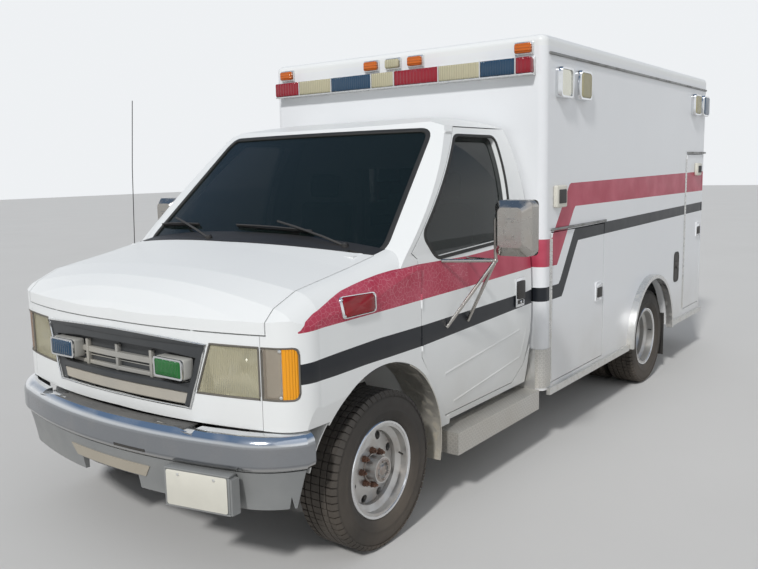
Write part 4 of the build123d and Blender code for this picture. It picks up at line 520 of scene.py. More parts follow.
class Look(Enum):
    """Every finish on the vehicle."""

    CAB = Paint("cab_paint", stripes_from_x=0.8)
    MODULE = Paint("module_paint", colour=(0.79, 0.8, 0.81), stripes_from_x=0.94, dust_to=0.8)
    DOOR = Paint("door_paint", colour=(0.79, 0.8, 0.81), stripes_from_x=0.94)
    PLAIN_WHITE = Paint("plain_white_paint", colour=(0.8, 0.81, 0.8))
    CHROME = Metal(
        "chrome_plate", (0.78, 0.79, 0.8), 0.06, stained=0.1, grain=9.0, relief=0.0001, low_dust=0.1
    )
    # The bumper's colour carries a painted reflection, banded by which way its faces turn
    BUMPER = Metal(
        "bumper_chrome", (0.78, 0.79, 0.8), 0.05, stained=0.12, grain=7.0, relief=0.0001, painted_reflection=True
    )
    STAINLESS = Metal(
        "stainless_steel", (0.44, 0.42, 0.39), 0.2, stain=(0.26, 0.2, 0.15), stained=0.3, grain=14.0
    )
    # Painted shade: the rails' dark grey and near-black patches stand for the line of shade under them; bare
    # aluminium is lighter
    RAIL = Metal("rail_aluminium", (0.3, 0.3, 0.29), 0.4, stain=(0.1, 0.09, 0.08), stained=0.6, grain=18.0)
    RIM = Metal("wheel_steel", (0.6, 0.6, 0.59), 0.24, stained=0.3, grain=12.0, low_dust=0.25)
    HUB = Metal("hub_steel", (0.4, 0.36, 0.33), 0.28, stain=(0.12, 0.06, 0.035), stained=0.55, grain=30.0)
    RUST = Metal("rusty_steel", (0.18, 0.1, 0.07), 0.6, metallic=0.4, stain=(0.2, 0.08, 0.04), stained=0.8)
    CHASSIS = Metal(
        "chassis_black", (0.025, 0.025, 0.027), 0.55, metallic=0.2, stain=(0.16, 0.13, 0.1), stained=0.5
    )
    CAST = Metal(
        "cast_iron_grey", (0.1, 0.1, 0.105), 0.6, metallic=0.6, stain=(0.16, 0.09, 0.06), stained=0.5
    )
    PIPE = Metal("exhaust_steel", (0.3, 0.28, 0.26), 0.42, stain=(0.2, 0.12, 0.08), stained=0.5)
    ALUMINIUM = Metal("box_aluminium", (0.62, 0.63, 0.64), 0.38, stained=0.1, grain=8.0)
    TRIM = Metal("bright_trim", (0.74, 0.74, 0.73), 0.22, stain=(0.42, 0.38, 0.3), stained=0.3, low_dust=0.35)
    GUARD = Metal(
        "guard_sheet", (0.66, 0.64, 0.58), 0.36, stain=(0.34, 0.29, 0.21), stained=0.55, low_dust=0.7
    )
    TREAD_PLATE = TreadPlate("tread_plate")
    GLASS = Glass("window_glass")
    MIRROR = Metal("mirror_glass", (0.85, 0.87, 0.88), 0.02, stained=0.0, relief=0.0)
    HEADLAMP = Lens("headlamp_lens", (0.7, 0.65, 0.44), alpha=0.42, flutes=110.0, hazed=0.3)
    CORNER_CLEAR = Lens("corner_clear", (0.5, 0.42, 0.34), alpha=0.36, flutes=110.0, hazed=0.1)
    CORNER_AMBER = Lens("corner_amber", (0.9, 0.36, 0.01), alpha=0.92, flutes=120.0, along=Along.Y, glow=0.04)
    AMBER = Lens("amber_lens", (0.58, 0.13, 0.012), flutes=60.0, along=Along.Z)
    RED_LENS = Lens("red_lens", (0.24, 0.003, 0.008), flutes=60.0)
    DEEP_RED = Lens("deep_red_lens", (0.26, 0.004, 0.015), flutes=40.0)
    BLUE_LENS = Lens("blue_lens", (0.008, 0.045, 0.095), flutes=60.0)
    GREEN_LENS = Lens("green_lens", (0.006, 0.15, 0.022), flutes=110.0)
    CLEAR_LENS = Lens("clear_lens", (0.52, 0.48, 0.3), alpha=0.85, flutes=60.0, hazed=0.35)
    YELLOW_LENS = Lens("yellowed_lens", (0.36, 0.32, 0.16), alpha=0.8, flutes=55.0, along=Along.Y, hazed=0.2)
    FLOOD_LENS = Lens("flood_lens", (0.6, 0.62, 0.64), alpha=0.15, flutes=40.0, along=Along.Y)
    REFLECTOR = Metal("lamp_reflector", (0.8, 0.78, 0.66), 0.12, stained=0.05, relief=0.0)
    GRILLE_DARK = Plastic("grille_charcoal", (0.032, 0.036, 0.04), 0.36, dusty=0.08)
    GRILLE_PALE = Plastic("grille_grey", (0.34, 0.34, 0.33), 0.42, dust=(0.4, 0.36, 0.28), dusty=0.7)
    VALANCE = Plastic("valance_grey", (0.2, 0.21, 0.215), 0.3, dust=(0.3, 0.28, 0.24), dusty=0.3)
    PAD = Plastic("step_pad_grey", (0.085, 0.088, 0.09), 0.5, dusty=0.3)
    BLACK = Plastic("black_plastic", (0.012, 0.012, 0.013), 0.45, dusty=0.12)
    RUBBER = Plastic("black_rubber", (0.014, 0.014, 0.014), 0.55, dusty=0.1)
    TYRE = Plastic(
        "tyre_rubber", (0.018, 0.017, 0.016), 0.66, 120.0, dust=(0.13, 0.105, 0.08), dusty=0.75,
        dust_to=0.9
    )
    INTERIOR = Plastic("interior_grey", (0.14, 0.145, 0.145), 0.6, dusty=0.05)
    FLOOR = Plastic("floor_vinyl", (0.26, 0.27, 0.28), 0.5, dusty=0.1)
    LAMINATE = Plastic("cabinet_laminate", (0.62, 0.62, 0.6), 0.4, dusty=0.03)
    DARK = Plastic("dark_grey", (0.03, 0.03, 0.032), 0.6)
    HOUSING = Plastic("lamp_housing_silver", (0.46, 0.46, 0.43), 0.3, dusty=0.35)
    STRIP = Plastic("grille_strip", (0.4, 0.38, 0.34), 0.36, dust=(0.46, 0.4, 0.3), dusty=0.6)
    INSERT = Plastic("bumper_insert", (0.4, 0.36, 0.29), 0.4, dusty=0.5)
    SEAL = Plastic("grey_seal", (0.085, 0.08, 0.07), 0.5, dusty=0.4)
    CREAM = Plastic("cream_plastic", (0.66, 0.64, 0.56), 0.4, dusty=0.1)
    CLOTH = Cloth("seat_cloth")
    VINYL = Plastic("cushion_vinyl", (0.05, 0.09, 0.13), 0.42, dusty=0.03)


@lru_cache(maxsize=None)
def finish(kind: Look) -> bpy.types.Material:
    """The material of a finish, made once."""
    return kind.value.make()


# Forms


class Form:
    """A mesh under construction."""

    def __init__(self) -> None:
        """Starts an empty mesh."""
        self.mesh = bmesh.new()

    def take(self, part: bmesh.types.BMesh, place: Optional[Matrix] = None) -> "Form":
        """Adds another mesh and frees it.

        Args:
            part: The mesh to add.
            place: Where it goes.

        Returns:
            This form.
        """
        if place is not None:
            part.transform(place)
        data = bpy.data.meshes.new("part")
        part.to_mesh(data)
        part.free()
        self.mesh.from_mesh(data)
        bpy.data.meshes.remove(data)
        return self

    def box(
        self, low: Point, high: Point, bevel: float = 0.0, steps: int = 2, place: Optional[Matrix] = None
    ) -> "Form":
        """Adds a box with rounded edges.

        Args:
            low: Lowest corner.
            high: Highest corner.
            bevel: Edge radius.
            steps: Segments of the rounding.
            place: A turn or move after.

        Returns:
            This form.
        """
        part = bmesh.new()
        size = [abs(b - a) for a, b in zip(low, high)]
        middle = [(a + b) / 2 for a, b in zip(low, high)]
        bmesh.ops.create_cube(
            part, size=1.0, matrix=Matrix.Translation(middle) @ Matrix.Diagonal((*size, 1.0))
        )
        if bevel:
            bmesh.ops.bevel(
                part, geom=part.edges[:], offset=min(bevel, min(size) * 0.49), segments=steps, profile=0.5,
                affect="EDGES",
            )
        return self.take(part, place)

    def rings(
        self, rings: Sequence[Sequence[Vector]], closed: bool = False, open_rings: bool = False
    ) -> "Form":
        """Adds a skin over rings of equal count, with its ends closed.

        Args:
            rings: The rings of points.
            closed: Whether the last joins the first.
            open_rings: Whether each ring stays open.

        Returns:
            This form.
        """
        part = bmesh.new()
        rows = [[part.verts.new(p) for p in ring] for ring in rings]
        count = len(rows[0])
        for i in range(len(rows) if closed else len(rows) - 1):
            a, b = rows[i], rows[(i + 1) % len(rows)]
            for j in range(count - 1 if open_rings else count):
                part.faces.new((a[j], a[(j + 1) % count], b[(j + 1) % count], b[j]))
        if not closed:
            part.faces.new(rows[0])
            part.faces.new(rows[-1])
        bmesh.ops.remove_doubles(part, verts=part.verts[:], dist=1e-6)
        bmesh.ops.recalc_face_normals(part, faces=part.faces[:])
        return self.take(part)

    def tube(self, path: Sequence[Point], radius: float, sides: int = 12, closed: bool = False) -> "Form":
        """Adds a round bar along a path.

        Args:
            path: The path's points.
            radius: The bar's radius.
            sides: Sides of its section.
            closed: Whether the path closes.

        Returns:
            This form.
        """
        points = [Vector(p) for p in path]
        count = len(points)
        rings = []
        for i, point in enumerate(points):
            before = points[(i - 1) % count] if closed or i else point
            after = points[(i + 1) % count] if closed or i < count - 1 else point
            first = (point - before).normalized() if (point - before).length > 1e-9 else Vector()
            second = (after - point).normalized() if (after - point).length > 1e-9 else Vector()
            tangent = (first + second).normalized()
            reference = Vector((0, 0, 1)) if abs(tangent.z) < 0.98 else Vector((1, 0, 0))
            one = (reference - tangent * reference.dot(tangent)).normalized()
            two = tangent.cross(one)
            turns = [tau * k / sides for k in range(sides)]
            rings.append([point + one * (radius * cos(t)) + two * (radius * sin(t)) for t in turns])
        return self.rings(rings, closed)

    def lathe(
        self, profile: Line, centre: Point, steps: int = 64, axis: Along = Along.X, closed: bool = False
    ) -> "Form":
        """Adds a turned form.

        Args:
            profile: Places along the axis and radii.
            centre: A point on the axis that places are measured from.
            steps: Segments round it.
            axis: The axis.
            closed: Whether the profile closes on itself.

        Returns:
            This form.
        """
        middle, shift = Vector(centre), axis.value
        rings = []
        for turn in (tau * k / steps for k in range(steps)):
            points = ((place, radius * cos(turn), radius * sin(turn)) for place, radius in profile)
            rings.append([middle + Vector([point[(i - shift) % 3] for i in range(3)]) for point in points])
        return self.rings(rings, True, not closed)

    def prism(self, outline: Line, axis: Along, start: float, end: float, bevel: float = 0.0) -> "Form":
        """Adds an outline drawn out along an axis.

        Args:
            outline: Corners in the other two coordinates, in their usual order.
            axis: The axis.
            start: Where it begins.
            end: Where it ends.
            bevel: Rounding of the rims.

        Returns:
            This form.
        """
        part, place = bmesh.new(), axis.value
        rows = []
        for level in (start, end):
            points = ([*pair[:place], level, *pair[place:]] for pair in outline)
            rows.append([part.verts.new(point) for point in points])
        count = len(outline)
        for j in range(count):
            part.faces.new((rows[0][j], rows[0][(j + 1) % count], rows[1][(j + 1) % count], rows[1][j]))
        caps = [part.faces.new(row) for row in rows]
        bmesh.ops.recalc_face_normals(part, faces=part.faces[:])
        if bevel:
            rims = {e for f in caps for e in f.edges}
            bmesh.ops.bevel(part, geom=list(rims), offset=bevel, segments=2, profile=0.5, affect="EDGES")
        return self.take(part)

    def moulding(self, trail: Sequence["Spot"], section: Line, closed: bool = False) -> "Form":
        """Adds a strip of one section along a surface.

        Args:
            trail: The places that it follows.
            section: Corners as (across, out of the surface).
            closed: Whether the strip closes.

        Returns:
            This form.
        """
        count = len(trail)
        rings = []
        for i, spot in enumerate(trail):
            before = trail[(i - 1) % count] if closed or i else spot
            after = trail[(i + 1) % count] if closed or i < count - 1 else spot
            ahead = (after.place - before.place).normalized()
            across = spot.normal.cross(ahead).normalized()
            out = ahead.cross(across)
            rings.append([spot.place + across * a + out * b for a, b in section])
        return self.rings(rings, closed)

    def slab(self, face: Sequence[Sequence[Vector]], back: Sequence[Sequence[Vector]]) -> "Form":
        """Adds a closed plate between two grids of points.

        Args:
            face: Rows of points on its face.
            back: Rows of as many points on its back.

        Returns:
            This form.
        """
        part = bmesh.new()
        grids = [[[part.verts.new(p) for p in row] for row in rows] for rows in (face, back)]
        for grid in grids:
            for a, b in zip(grid, grid[1:]):
                for j in range(len(a) - 1):
                    part.faces.new((a[j], a[j + 1], b[j + 1], b[j]))
        rims = [around(grid) for grid in grids]
        count = len(rims[0])
        for j in range(count):
            part.faces.new((rims[0][j], rims[0][(j + 1) % count], rims[1][(j + 1) % count], rims[1][j]))
        bmesh.ops.recalc_face_normals(part, faces=part.faces[:])
        return self.take(part)

    def stud(self, spot: "Spot", radius: float, height: float, sides: int = 12) -> "Form":
        """Adds a low dome, such as a rivet or a screw's head, on a surface.

        Args:
            spot: Where it sits.
            radius: Its radius.
            height: How far it stands out.
            sides: Sides of its outline.

        Returns:
            This form.
        """
        turn = spot.normal.to_track_quat("Z", "Y").to_matrix().to_4x4()
        place = Matrix.Translation(spot.place) @ turn
        turns = [tau * k / sides for k in range(sides)]
        levels = ((1.0, -0.2), (1.0, 0.5), (0.7, 0.9), (0.03, 1.0))
        return self.rings([
            [
                place @ Vector((radius * k * cos(t), radius * k * sin(t), height * level)) for t in turns
            ] for k, level in levels
        ])

    def mirrored(self) -> "Form":
        """The mirror image across the vehicle, as a new form."""
        other = Form().take(self.mesh.copy())
        bmesh.ops.scale(other.mesh, vec=(-1.0, 1.0, 1.0), verts=other.mesh.verts[:])
        bmesh.ops.reverse_faces(other.mesh, faces=other.mesh.faces[:])
        return other

    def both(self) -> "Form":
        """Adds the mirror image to this form."""
        return self.take(self.mirrored().mesh)

    def each_side(self, name: str, kind: Look, slot: str, body: str = "cab_door_*") -> None:
        """Makes this form on the left and its mirror image on the right, each on its own body.

        Args:
            name: The piece's name, before the side's word.
            kind: The finish.
            slot: The record's slot that the finish comes from; it is passed to build and not used.
            body: The body's name, with a star for the side's word.
        """
        for side, form in ((Side.RIGHT, self.mirrored()), (Side.LEFT, self)):
            form.build(name + "_" + side.tag, kind, slot, body=body.replace("*", side.tag))

    def piece(self, name: str) -> bpy.types.Object:
        """The finished mesh as an object that isn't in the scene yet."""
        data = bpy.data.meshes.new(name)
        self.mesh.to_mesh(data)
        self.mesh.free()
        return bpy.data.objects.new(name, data)

    def build(
        self, name: str, kind: Look, slot: str, replaces: Iterable[str] = (), body: str = "body",
        smooth: float = 32.0,
    ) -> bpy.types.Object:
        """Makes the object in the scene, shades it and puts it on its body.

        Args:
            name: The piece's name.
            kind: Its finish.
            slot: The record's slot that its finish comes from; it is not used.
            replaces: CAD nodes that it stands for.
            body: The body it rides on.
            smooth: The angle up to which edges look smooth.

        Returns:
            The object.
        """
        piece = self.piece(name)
        show(piece)
        data = piece.data
        data.materials.append(finish(kind))
        data.polygons.foreach_set("use_smooth", [True] * len(data.polygons))
        data.set_sharp_from_angle(angle=radians(smooth))
        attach(piece, body)
        if replaces:
            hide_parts(*replaces)
        return piece


def show(thing: bpy.types.Object) -> None:
    """Puts an object in the scene."""
    bpy.context.scene.collection.objects.link(thing)


def around(grid: Sequence[Sequence[object]]) -> list[object]:
    """The border of a grid, once round."""
    first, last = list(grid[0]), list(grid[-1])
    return first[:-1] + [row[-1] for row in grid[:-1]] + last[:0:-1] + [row[0] for row in list(grid)[:0:-1]]


def rounded(corners: Line, radius: float, steps: int = 5) -> list[Pair]:
    """An outline with its corners rounded.

    Args:
        corners: The outline's corners.
        radius: The rounding's reach along each side.
        steps: Segments at each corner.

    Returns:
        The new outline.
    """
    out: list[Pair] = []
    count = len(corners)
    for i, corner in enumerate(corners):
        here = Vector(corner)
        before, after = Vector(corners[i - 1]), Vector(corners[(i + 1) % count])
        reach = min(radius, (before - here).length * 0.45, (after - here).length * 0.45)
        start = here + (before - here).normalized() * reach
        end = here + (after - here).normalized() * reach
        for k in range(steps + 1):
            t = k / steps
            out.append(tuple((1 - t) ** 2 * start + 2 * t * (1 - t) * here + t * t * end))
    return out


def oblong(a: Pair, b: Pair, radius: float, steps: int = 5) -> list[Pair]:
    """A rectangle between two spans, with rounded corners."""
    return rounded([(a[0], b[0]), (a[1], b[0]), (a[1], b[1]), (a[0], b[1])], radius, steps)


class Skin:
    """The outer surface of some CAD nodes, to lay trim on."""

    def __init__(self, *nodes: str) -> None:
        """Reads the nodes' triangles."""
        points: list[Vector] = []
        faces: list[tuple[int, ...]] = []
        for name in nodes:
            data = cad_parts[name].data
            start = len(points)
            points += [v.co.copy() for v in data.vertices]
            faces += [tuple(start + i for i in p.vertices) for p in data.polygons]
        self.tree = BVHTree.FromPolygons(points, faces)

    def meet(self, start: Point, toward: Point) -> Optional["Spot"]:
        """What is met first from a place in a direction."""
        direction = Vector(toward).normalized()
        place, normal = self.tree.ray_cast(Vector(start), direction)[:2]
        if place is None:
            return None
        return Spot(place, normal if normal.dot(direction) < 0 else -normal)

    def side(self, y: float, z: float) -> Optional["Spot"]:
        """The outermost place seen from the left."""
        return self.meet((3.0, y, z), (-1.0, 0.0, 0.0))

    def front(self, x: float, z: float) -> Optional["Spot"]:
        """The foremost place seen from the front."""
        return self.meet((x, -6.0, z), (0.0, 1.0, 0.0))

    def top(self, x: float, y: float) -> Optional["Spot"]:
        """The highest place seen from above."""
        return self.meet((x, y, 5.0), (0.0, 0.0, -1.0))


@dataclass(frozen=True)
class Spot:
    """A place on a surface, with the direction that it faces."""

    place: Vector
    normal: Vector

    def out(self, distance: float) -> Vector:
        """The place moved out of the surface."""
        return self.place + self.normal * distance


def found(spots: Iterable[Optional[Spot]]) -> list[Spot]:
    """The spots that were met, without the misses."""
    return [spot for spot in spots if spot]


def spaced(start: float, end: float, count: int) -> list[float]:
    """Evenly spaced values over a count of steps, with both ends."""
    return [start + (end - start) * k / count for k in range(count + 1)]


def along(points: Line, step: float) -> list[Pair]:
    """Points along a line of corners, at about one spacing, with every corner kept."""
    out = [points[0]]
    for a, b in zip(points, points[1:]):
        count = max(1, round(((b[0] - a[0]) ** 2 + (b[1] - a[1]) ** 2) ** 0.5 / step))
        out += [
            (a[0] + (b[0] - a[0]) * k / count, a[1] + (b[1] - a[1]) * k / count)
            for k in range(1, count + 1)
        ]
    return out


def grown(outline: Line, margin: float) -> list[Pair]:
    """A closed outline moved outwards."""
    area = sum(a[0] * b[1] - b[0] * a[1] for a, b in zip(outline, [*outline[1:], outline[0]]))
    sign = 1.0 if area > 0 else -1.0
    out = []
    for i, point in enumerate(outline):
        before, after = Vector(outline[i - 1]), Vector(outline[(i + 1) % len(outline)])
        run = (after - before).normalized()
        out.append((point[0] + run.y * margin * sign, point[1] - run.x * margin * sign))
    return out


# Repeats by Geometry Nodes


class Pattern(Enum):
    """How a repeated piece is laid out."""

    TURNED = "turned"
    ROW = "row"


@dataclass
class Repeat:
    """Repeats a small piece round an axis or along a row, through a node tree with named inputs."""

    pattern: Pattern
    count: int
    step: Point
    centre: Point = (0.0, 0.0, 0.0)

    def tree(self) -> bpy.types.NodeTree:
        """Builds the pattern's node tree.

        Returns:
            The tree, with inputs Piece, Count, Step, Centre and Finish.
        """
        name = "repeat_" + self.pattern.value
        if name in bpy.data.node_groups:
            return bpy.data.node_groups[name]
        tree = bpy.data.node_groups.new(name, "GeometryNodeTree")
        for name, kind in (
            ("Geometry", "Geometry"), ("Piece", "Object"), ("Count", "Int"), ("Step", "Vector"),
            ("Centre", "Vector"),
            ("Finish", "Material"),
        ):
            tree.interface.new_socket(name, in_out="INPUT", socket_type="NodeSocket" + kind)
        tree.interface.new_socket("Geometry", in_out="OUTPUT", socket_type="NodeSocketGeometry")
        add, link = tree.nodes.new, tree.links.new
        given, result = add("NodeGroupInput"), add("NodeGroupOutput")
        line, index = add("GeometryNodeMeshLine"), add("GeometryNodeInputIndex")
        scale = add("ShaderNodeVectorMath")
        scale.operation = "SCALE"
        link(given.outputs["Count"], line.inputs["Count"])
        link(given.outputs["Centre"], line.inputs["Start Location"])
        line.inputs["Offset"].default_value = (0.0, 0.0, 0.0)
        link(given.outputs["Step"], scale.inputs[0])
        link(index.outputs[0], scale.inputs["Scale"])
        source, spread = add("GeometryNodeObjectInfo"), add("GeometryNodeInstanceOnPoints")
        link(given.outputs["Piece"], source.inputs["Object"])
        link(line.outputs[0], spread.inputs["Points"])
        link(source.outputs["Geometry"], spread.inputs["Instance"])
        flow = spread.outputs[0]
        if self.pattern is Pattern.TURNED:
            link(scale.outputs[0], spread.inputs["Rotation"])
        else:
            move = add("GeometryNodeTranslateInstances")
            move.inputs["Local Space"].default_value = False
            link(flow, move.inputs["Instances"])
            link(scale.outputs[0], move.inputs["Translation"])
            flow = move.outputs[0]
        real, paint = add("GeometryNodeRealizeInstances"), add("GeometryNodeSetMaterial")
        link(flow, real.inputs[0])
        link(real.outputs[0], paint.inputs["Geometry"])
        link(given.outputs["Finish"], paint.inputs["Material"])
        link(paint.outputs[0], result.inputs[0])
        return tree

    def spread(self, piece: Form, kind: Look) -> bmesh.types.BMesh:
        """Makes the repeats as one plain mesh.

        Args:
            piece: The small piece, made about the origin.
            kind: Its finish.

        Returns:
            The joined mesh.
        """
        unit, host = piece.piece("unit"), Form().piece("host")
        for thing in (unit, host):
            show(thing)
        modifier = host.modifiers.new("repeat", "NODES")
        modifier.node_group = self.tree()
        values = {
            "Piece": unit, "Count": self.count, "Step": self.step, "Centre": self.centre,
            "Finish": finish(kind)
        }
        for item in modifier.node_group.interface.items_tree:
            if item.in_out == "INPUT" and item.name in values:
                modifier[item.identifier] = values[item.name]
        graph = bpy.context.evaluated_depsgraph_get()
        made = bpy.data.meshes.new_from_object(host.evaluated_get(graph))
        host.modifiers.clear()
        out = bmesh.new()
        out.from_mesh(made)
        bpy.data.meshes.remove(made)
        for thing in (unit, host):
            bpy.data.objects.remove(thing)
        return out


# Wheels


@dataclass
class Tyre:
    """A tyre with rounded shoulders, sidewall ribs, grooves and shoulder lugs."""

    x: float
    y: float
    body: str
    node: str
    name: str
    radius: float = 0.372
    rim: float = 0.2135
    pitches: int = 66
    tread: float = 0.01

    def profile(self) -> list[Pair]:
        """The section from one bead over the tread to the other."""
        base = self.radius - self.tread
        wall = [
            (0.08, self.rim), (0.081, self.rim + 0.016), (0.094, self.rim + 0.022), (0.104, self.rim + 0.04),
            (0.11, self.rim + 0.06), (0.1122, self.rim + 0.066), (0.1122, self.rim + 0.07),
            (0.1105, self.rim + 0.073),
            (0.1122, self.rim + 0.09), (0.1085, base - 0.026), (0.1035, base - 0.012), (0.095, base - 0.003),
            (0.086, base),
        ]
        return wall + [(-a, r) for a, r in reversed(wall)]

    def lugs(self) -> Form:
        """One pitch of the tread: centre ribs cut by sipes, and a lug at each shoulder."""
        form = Form()
        base, top = self.radius - self.tread - 0.002, self.radius
        pitch = tau * self.radius / self.pitches
        for low, high in ((-0.058, -0.028), (-0.022, 0.022), (0.028, 0.058)):
            form.box((low, -pitch * 0.46, base), (high, pitch * 0.46, top), 0.0015, 1)
        for side in (-1, 1):
            a, b, c = 0.064, 0.092, 0.1085
            outline = [
                (side * a, top), (side * b, top), (side * c, top - 0.017), (side * c, base - 0.014),
                (side * a, base)
            ]
            form.prism(outline, Along.Y, -pitch * 0.4, pitch * 0.4)
        return form

    def build(self) -> None:
        """Makes the tyre on its wheel."""
        centre = (self.x, self.y, AXLE_Z)
        form = Form().lathe(self.profile(), centre, 96)
        turns = Repeat(Pattern.TURNED, self.pitches, (tau / self.pitches, 0.0, 0.0), centre)
        form.take(turns.spread(self.lugs(), Look.TYRE))
        form.build(self.name, Look.TYRE, "tyre_black", [self.node] if self.node else [], self.body, 40.0)


@dataclass
class WheelTrim:
    """Hub, nuts, valve and bright ring on a wheel's outer face."""

    x: float
    y: float
    face: float
    body: str
    side: Side
    nuts: int = 8
    circle: float = 0.083
    hub_length: float = 0.0

    def outward(self, *profile: Pair) -> list[Pair]:
        """A profile along the axle, with its places counted outwards."""
        return [(self.side.value * place, radius) for place, radius in profile]

    def build(self) -> None:
        """Makes the hub's cap, the nuts with their studs, and the valve."""
        s, name = self.side.value, self.body
        centre, circle = (self.face, self.y, AXLE_Z), (0.0, 0.0, self.circle)
        flats = self.outward(
            (0.0, 0.0), (0.0, 0.017), (0.004, 0.017), (0.004, 0.0145), (0.02, 0.0135), (0.022, 0.0)
        )
        nut = Form().lathe(flats, circle, 6)
        nut.lathe(self.outward((0.018, 0.0065), (0.032, 0.0065), (0.033, 0.0)), circle, 10)
        ring = Repeat(Pattern.TURNED, self.nuts, (tau / self.nuts, 0.0, 0.0), centre)
        Form().take(ring.spread(nut, Look.RUST)).build(name + "_nuts", Look.RUST, "rim_silver", body=name)
        if self.hub_length:
            end = self.hub_length
            cap = Form().lathe(self.outward(
                (0.0, 0.066), (0.006, 0.066), (0.008, 0.0595), (end - 0.012, 0.0575), (end - 0.004, 0.0555),
                (end, 0.048),
                (end - 0.004, 0.04), (end - 0.004, 0.026), (end, 0.022), (end + 0.004, 0.0),
            ), centre, 48)
            bolt = Form().box((0.0, -0.006, 0.036), (s * 0.012, 0.006, 0.048), 0.001, 1)
            bolts = Repeat(
                Pattern.TURNED, 6, (tau / 6, 0.0, 0.0), (self.face + s * (end - 0.008), self.y, AXLE_Z)
            )
            cap.take(bolts.spread(bolt, Look.HUB))
            cap.build(name + "_hub", Look.HUB, "rim_silver", body=name)
        edge = self.outward((0.0, 0.228), (0.006, 0.232), (0.01, 0.228), (0.008, 0.218), (0.0, 0.214))
        Form().lathe(edge, (self.x + s * 0.084, self.y, AXLE_Z), 96, closed=True).build(
            name + "_rim_edge", Look.CHROME, "rim_silver", body=name)
        stem = [(self.x + s * x, self.y + y, AXLE_Z + 0.02) for x, y in ((0.055, 0.188), (0.085, 0.176))]
        Form().tube(stem, 0.0045, 10).build(name + "_valve", Look.RUBBER, "tyre_black", body=name)


@dataclass
class Wheels:
    """All tyres and wheel trim."""

    front_x: float = 0.8815
    outer_x: float = 0.951
    inner_x: float = 0.689

    def build(self) -> None:
        """Makes every wheel's dress."""
        for side in Side:
            s, tag = side.value, side.tag
            front, rear = "wheel_front_" + tag, "wheels_rear_" + tag
            Tyre(s * self.front_x, FRONT_Y, front, "front_tyre_" + tag, "front_tyre_dress_" + tag).build()
            Tyre(s * self.outer_x, REAR_Y, rear, "rear_tyres_" + tag, "outer_tyre_dress_" + tag).build()
            Tyre(s * self.inner_x, REAR_Y, rear, "", "inner_tyre_dress_" + tag).build()
            face = s * (self.front_x + 0.03)
            WheelTrim(s * self.front_x, FRONT_Y, face, front, side, hub_length=0.07).build()
            WheelTrim(s * self.outer_x, REAR_Y, s * 0.832, rear, side, circle=0.0965).build()
            for node in ("front_rim_", "rear_rims_"):
                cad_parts[node + tag].data.materials[0] = finish(Look.RIM)


# Look on the CAD's own nodes

NODE_FINISHES: dict[Look, tuple[str, ...]] = {
    Look.CHASSIS: ("chassis_frame", "cross_members", "fuel_tank"),
    Look.CAST: ("front_axle", "rear_axle", "engine_block", "knuckle_left", "knuckle_right"),
    Look.PIPE: ("exhaust",),
    Look.DARK: ("radiator",),
    Look.CAB: ("cab_shell", "fenders", "cab_door_left", "cab_door_right"),
    Look.PLAIN_WHITE: ("nose_panel", "hood", "module_roof"),
    Look.MODULE: ("module_sides", "module_ends"),
    Look.DOOR: (
        "door_left_front", "door_left_rear", "door_right_rear", "door_side", "rear_door_left",
        "rear_door_right"
    ),
    Look.GRILLE_DARK: ("grille",),
    Look.BLACK: ("cowl",),
    Look.BUMPER: ("front_bumper",),
    Look.STAINLESS: ("mirror_left", "mirror_right"),
    Look.VALANCE: ("front_valance",),
    Look.GLASS: (
        "windscreen", "cab_door_glass_left", "cab_door_glass_right", "rear_door_glass_left",
        "rear_door_glass_right", "door_side_glass",
    ),
    Look.INTERIOR: ("dashboard",),
    Look.FLOOR: ("module_floor", "wheel_wells"),
    Look.ALUMINIUM: ("compartments",),
    Look.LAMINATE: ("cabinets",),
    Look.TRIM: ("module_trim",),
    Look.TREAD_PLATE: ("running_boards", "rear_step"),
    Look.GUARD: ("splash_guards",),
    Look.RUBBER: ("mud_flaps",),
    Look.CLOTH: ("seats",),
    Look.HEADLAMP: ("front_lamps",),
    Look.RED_LENS: ("light_bar",),
    Look.AMBER: ("module_lamps",),
}


def dress_nodes() -> None:
    """Gives the CAD's own nodes their finishes."""
    for kind, names in NODE_FINISHES.items():
        for name in names:
            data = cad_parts[name].data
            data.materials.clear()
            data.materials.append(finish(kind))


# Lamps


@dataclass
class LightBar:
    """The row of coloured lens blocks across the module's forehead, on a bright base."""

    half: float = 1.008
    z: float = 2.331
    height: float = 0.1
    depth: float = 0.074
    base: float = 0.022
    widths: tuple[float, ...] = (0.231, 0.293, 0.343, 0.183, 0.338, 0.293, 0.235, 0.1)
    kinds: tuple[Look, ...] = (
        Look.DEEP_RED, Look.CLEAR_LENS, Look.BLUE_LENS, Look.CLEAR_LENS,
        Look.DEEP_RED, Look.CLEAR_LENS, Look.BLUE_LENS, Look.DEEP_RED,
    )

    def build(self) -> None:
        """Makes the base, the lenses and the clips between them."""
        low, high = self.z - self.height / 2, self.z + self.height / 2
        back = MODULE_FRONT - OFF
        base = Form().box((-self.half, MODULE_FRONT - self.base, low), (self.half, back, high), 0.003)
        base.box(
            (-self.half, MODULE_FRONT - self.depth + 0.008, low - 0.004), (self.half, back, low + 0.006),
            0.002
        )
        base.build("light_bar_base", Look.TRIM, "trim_bright", ["light_bar"])
        start = -self.half
        front, rear = MODULE_FRONT - self.depth, MODULE_FRONT - self.base
        for index, (width, kind) in enumerate(zip(self.widths, self.kinds)):
            if index:
                Form().box(
                    (start - 0.004, front + 0.002, low + 0.004), (start + 0.004, rear, high - 0.001),
                    0.001, 1
                ).build(
                    "light_bar_clip_%d" % (index - 1), Look.TRIM, "trim_bright")
            lens = Form().box(
                (start + 0.003, front, low + 0.006), (start + width - 0.003, rear + 0.002, high - 0.002),
                0.01, 3
            )
            lens.build("light_bar_lens_%d" % index, kind, "light_bar_lens")
            start += width


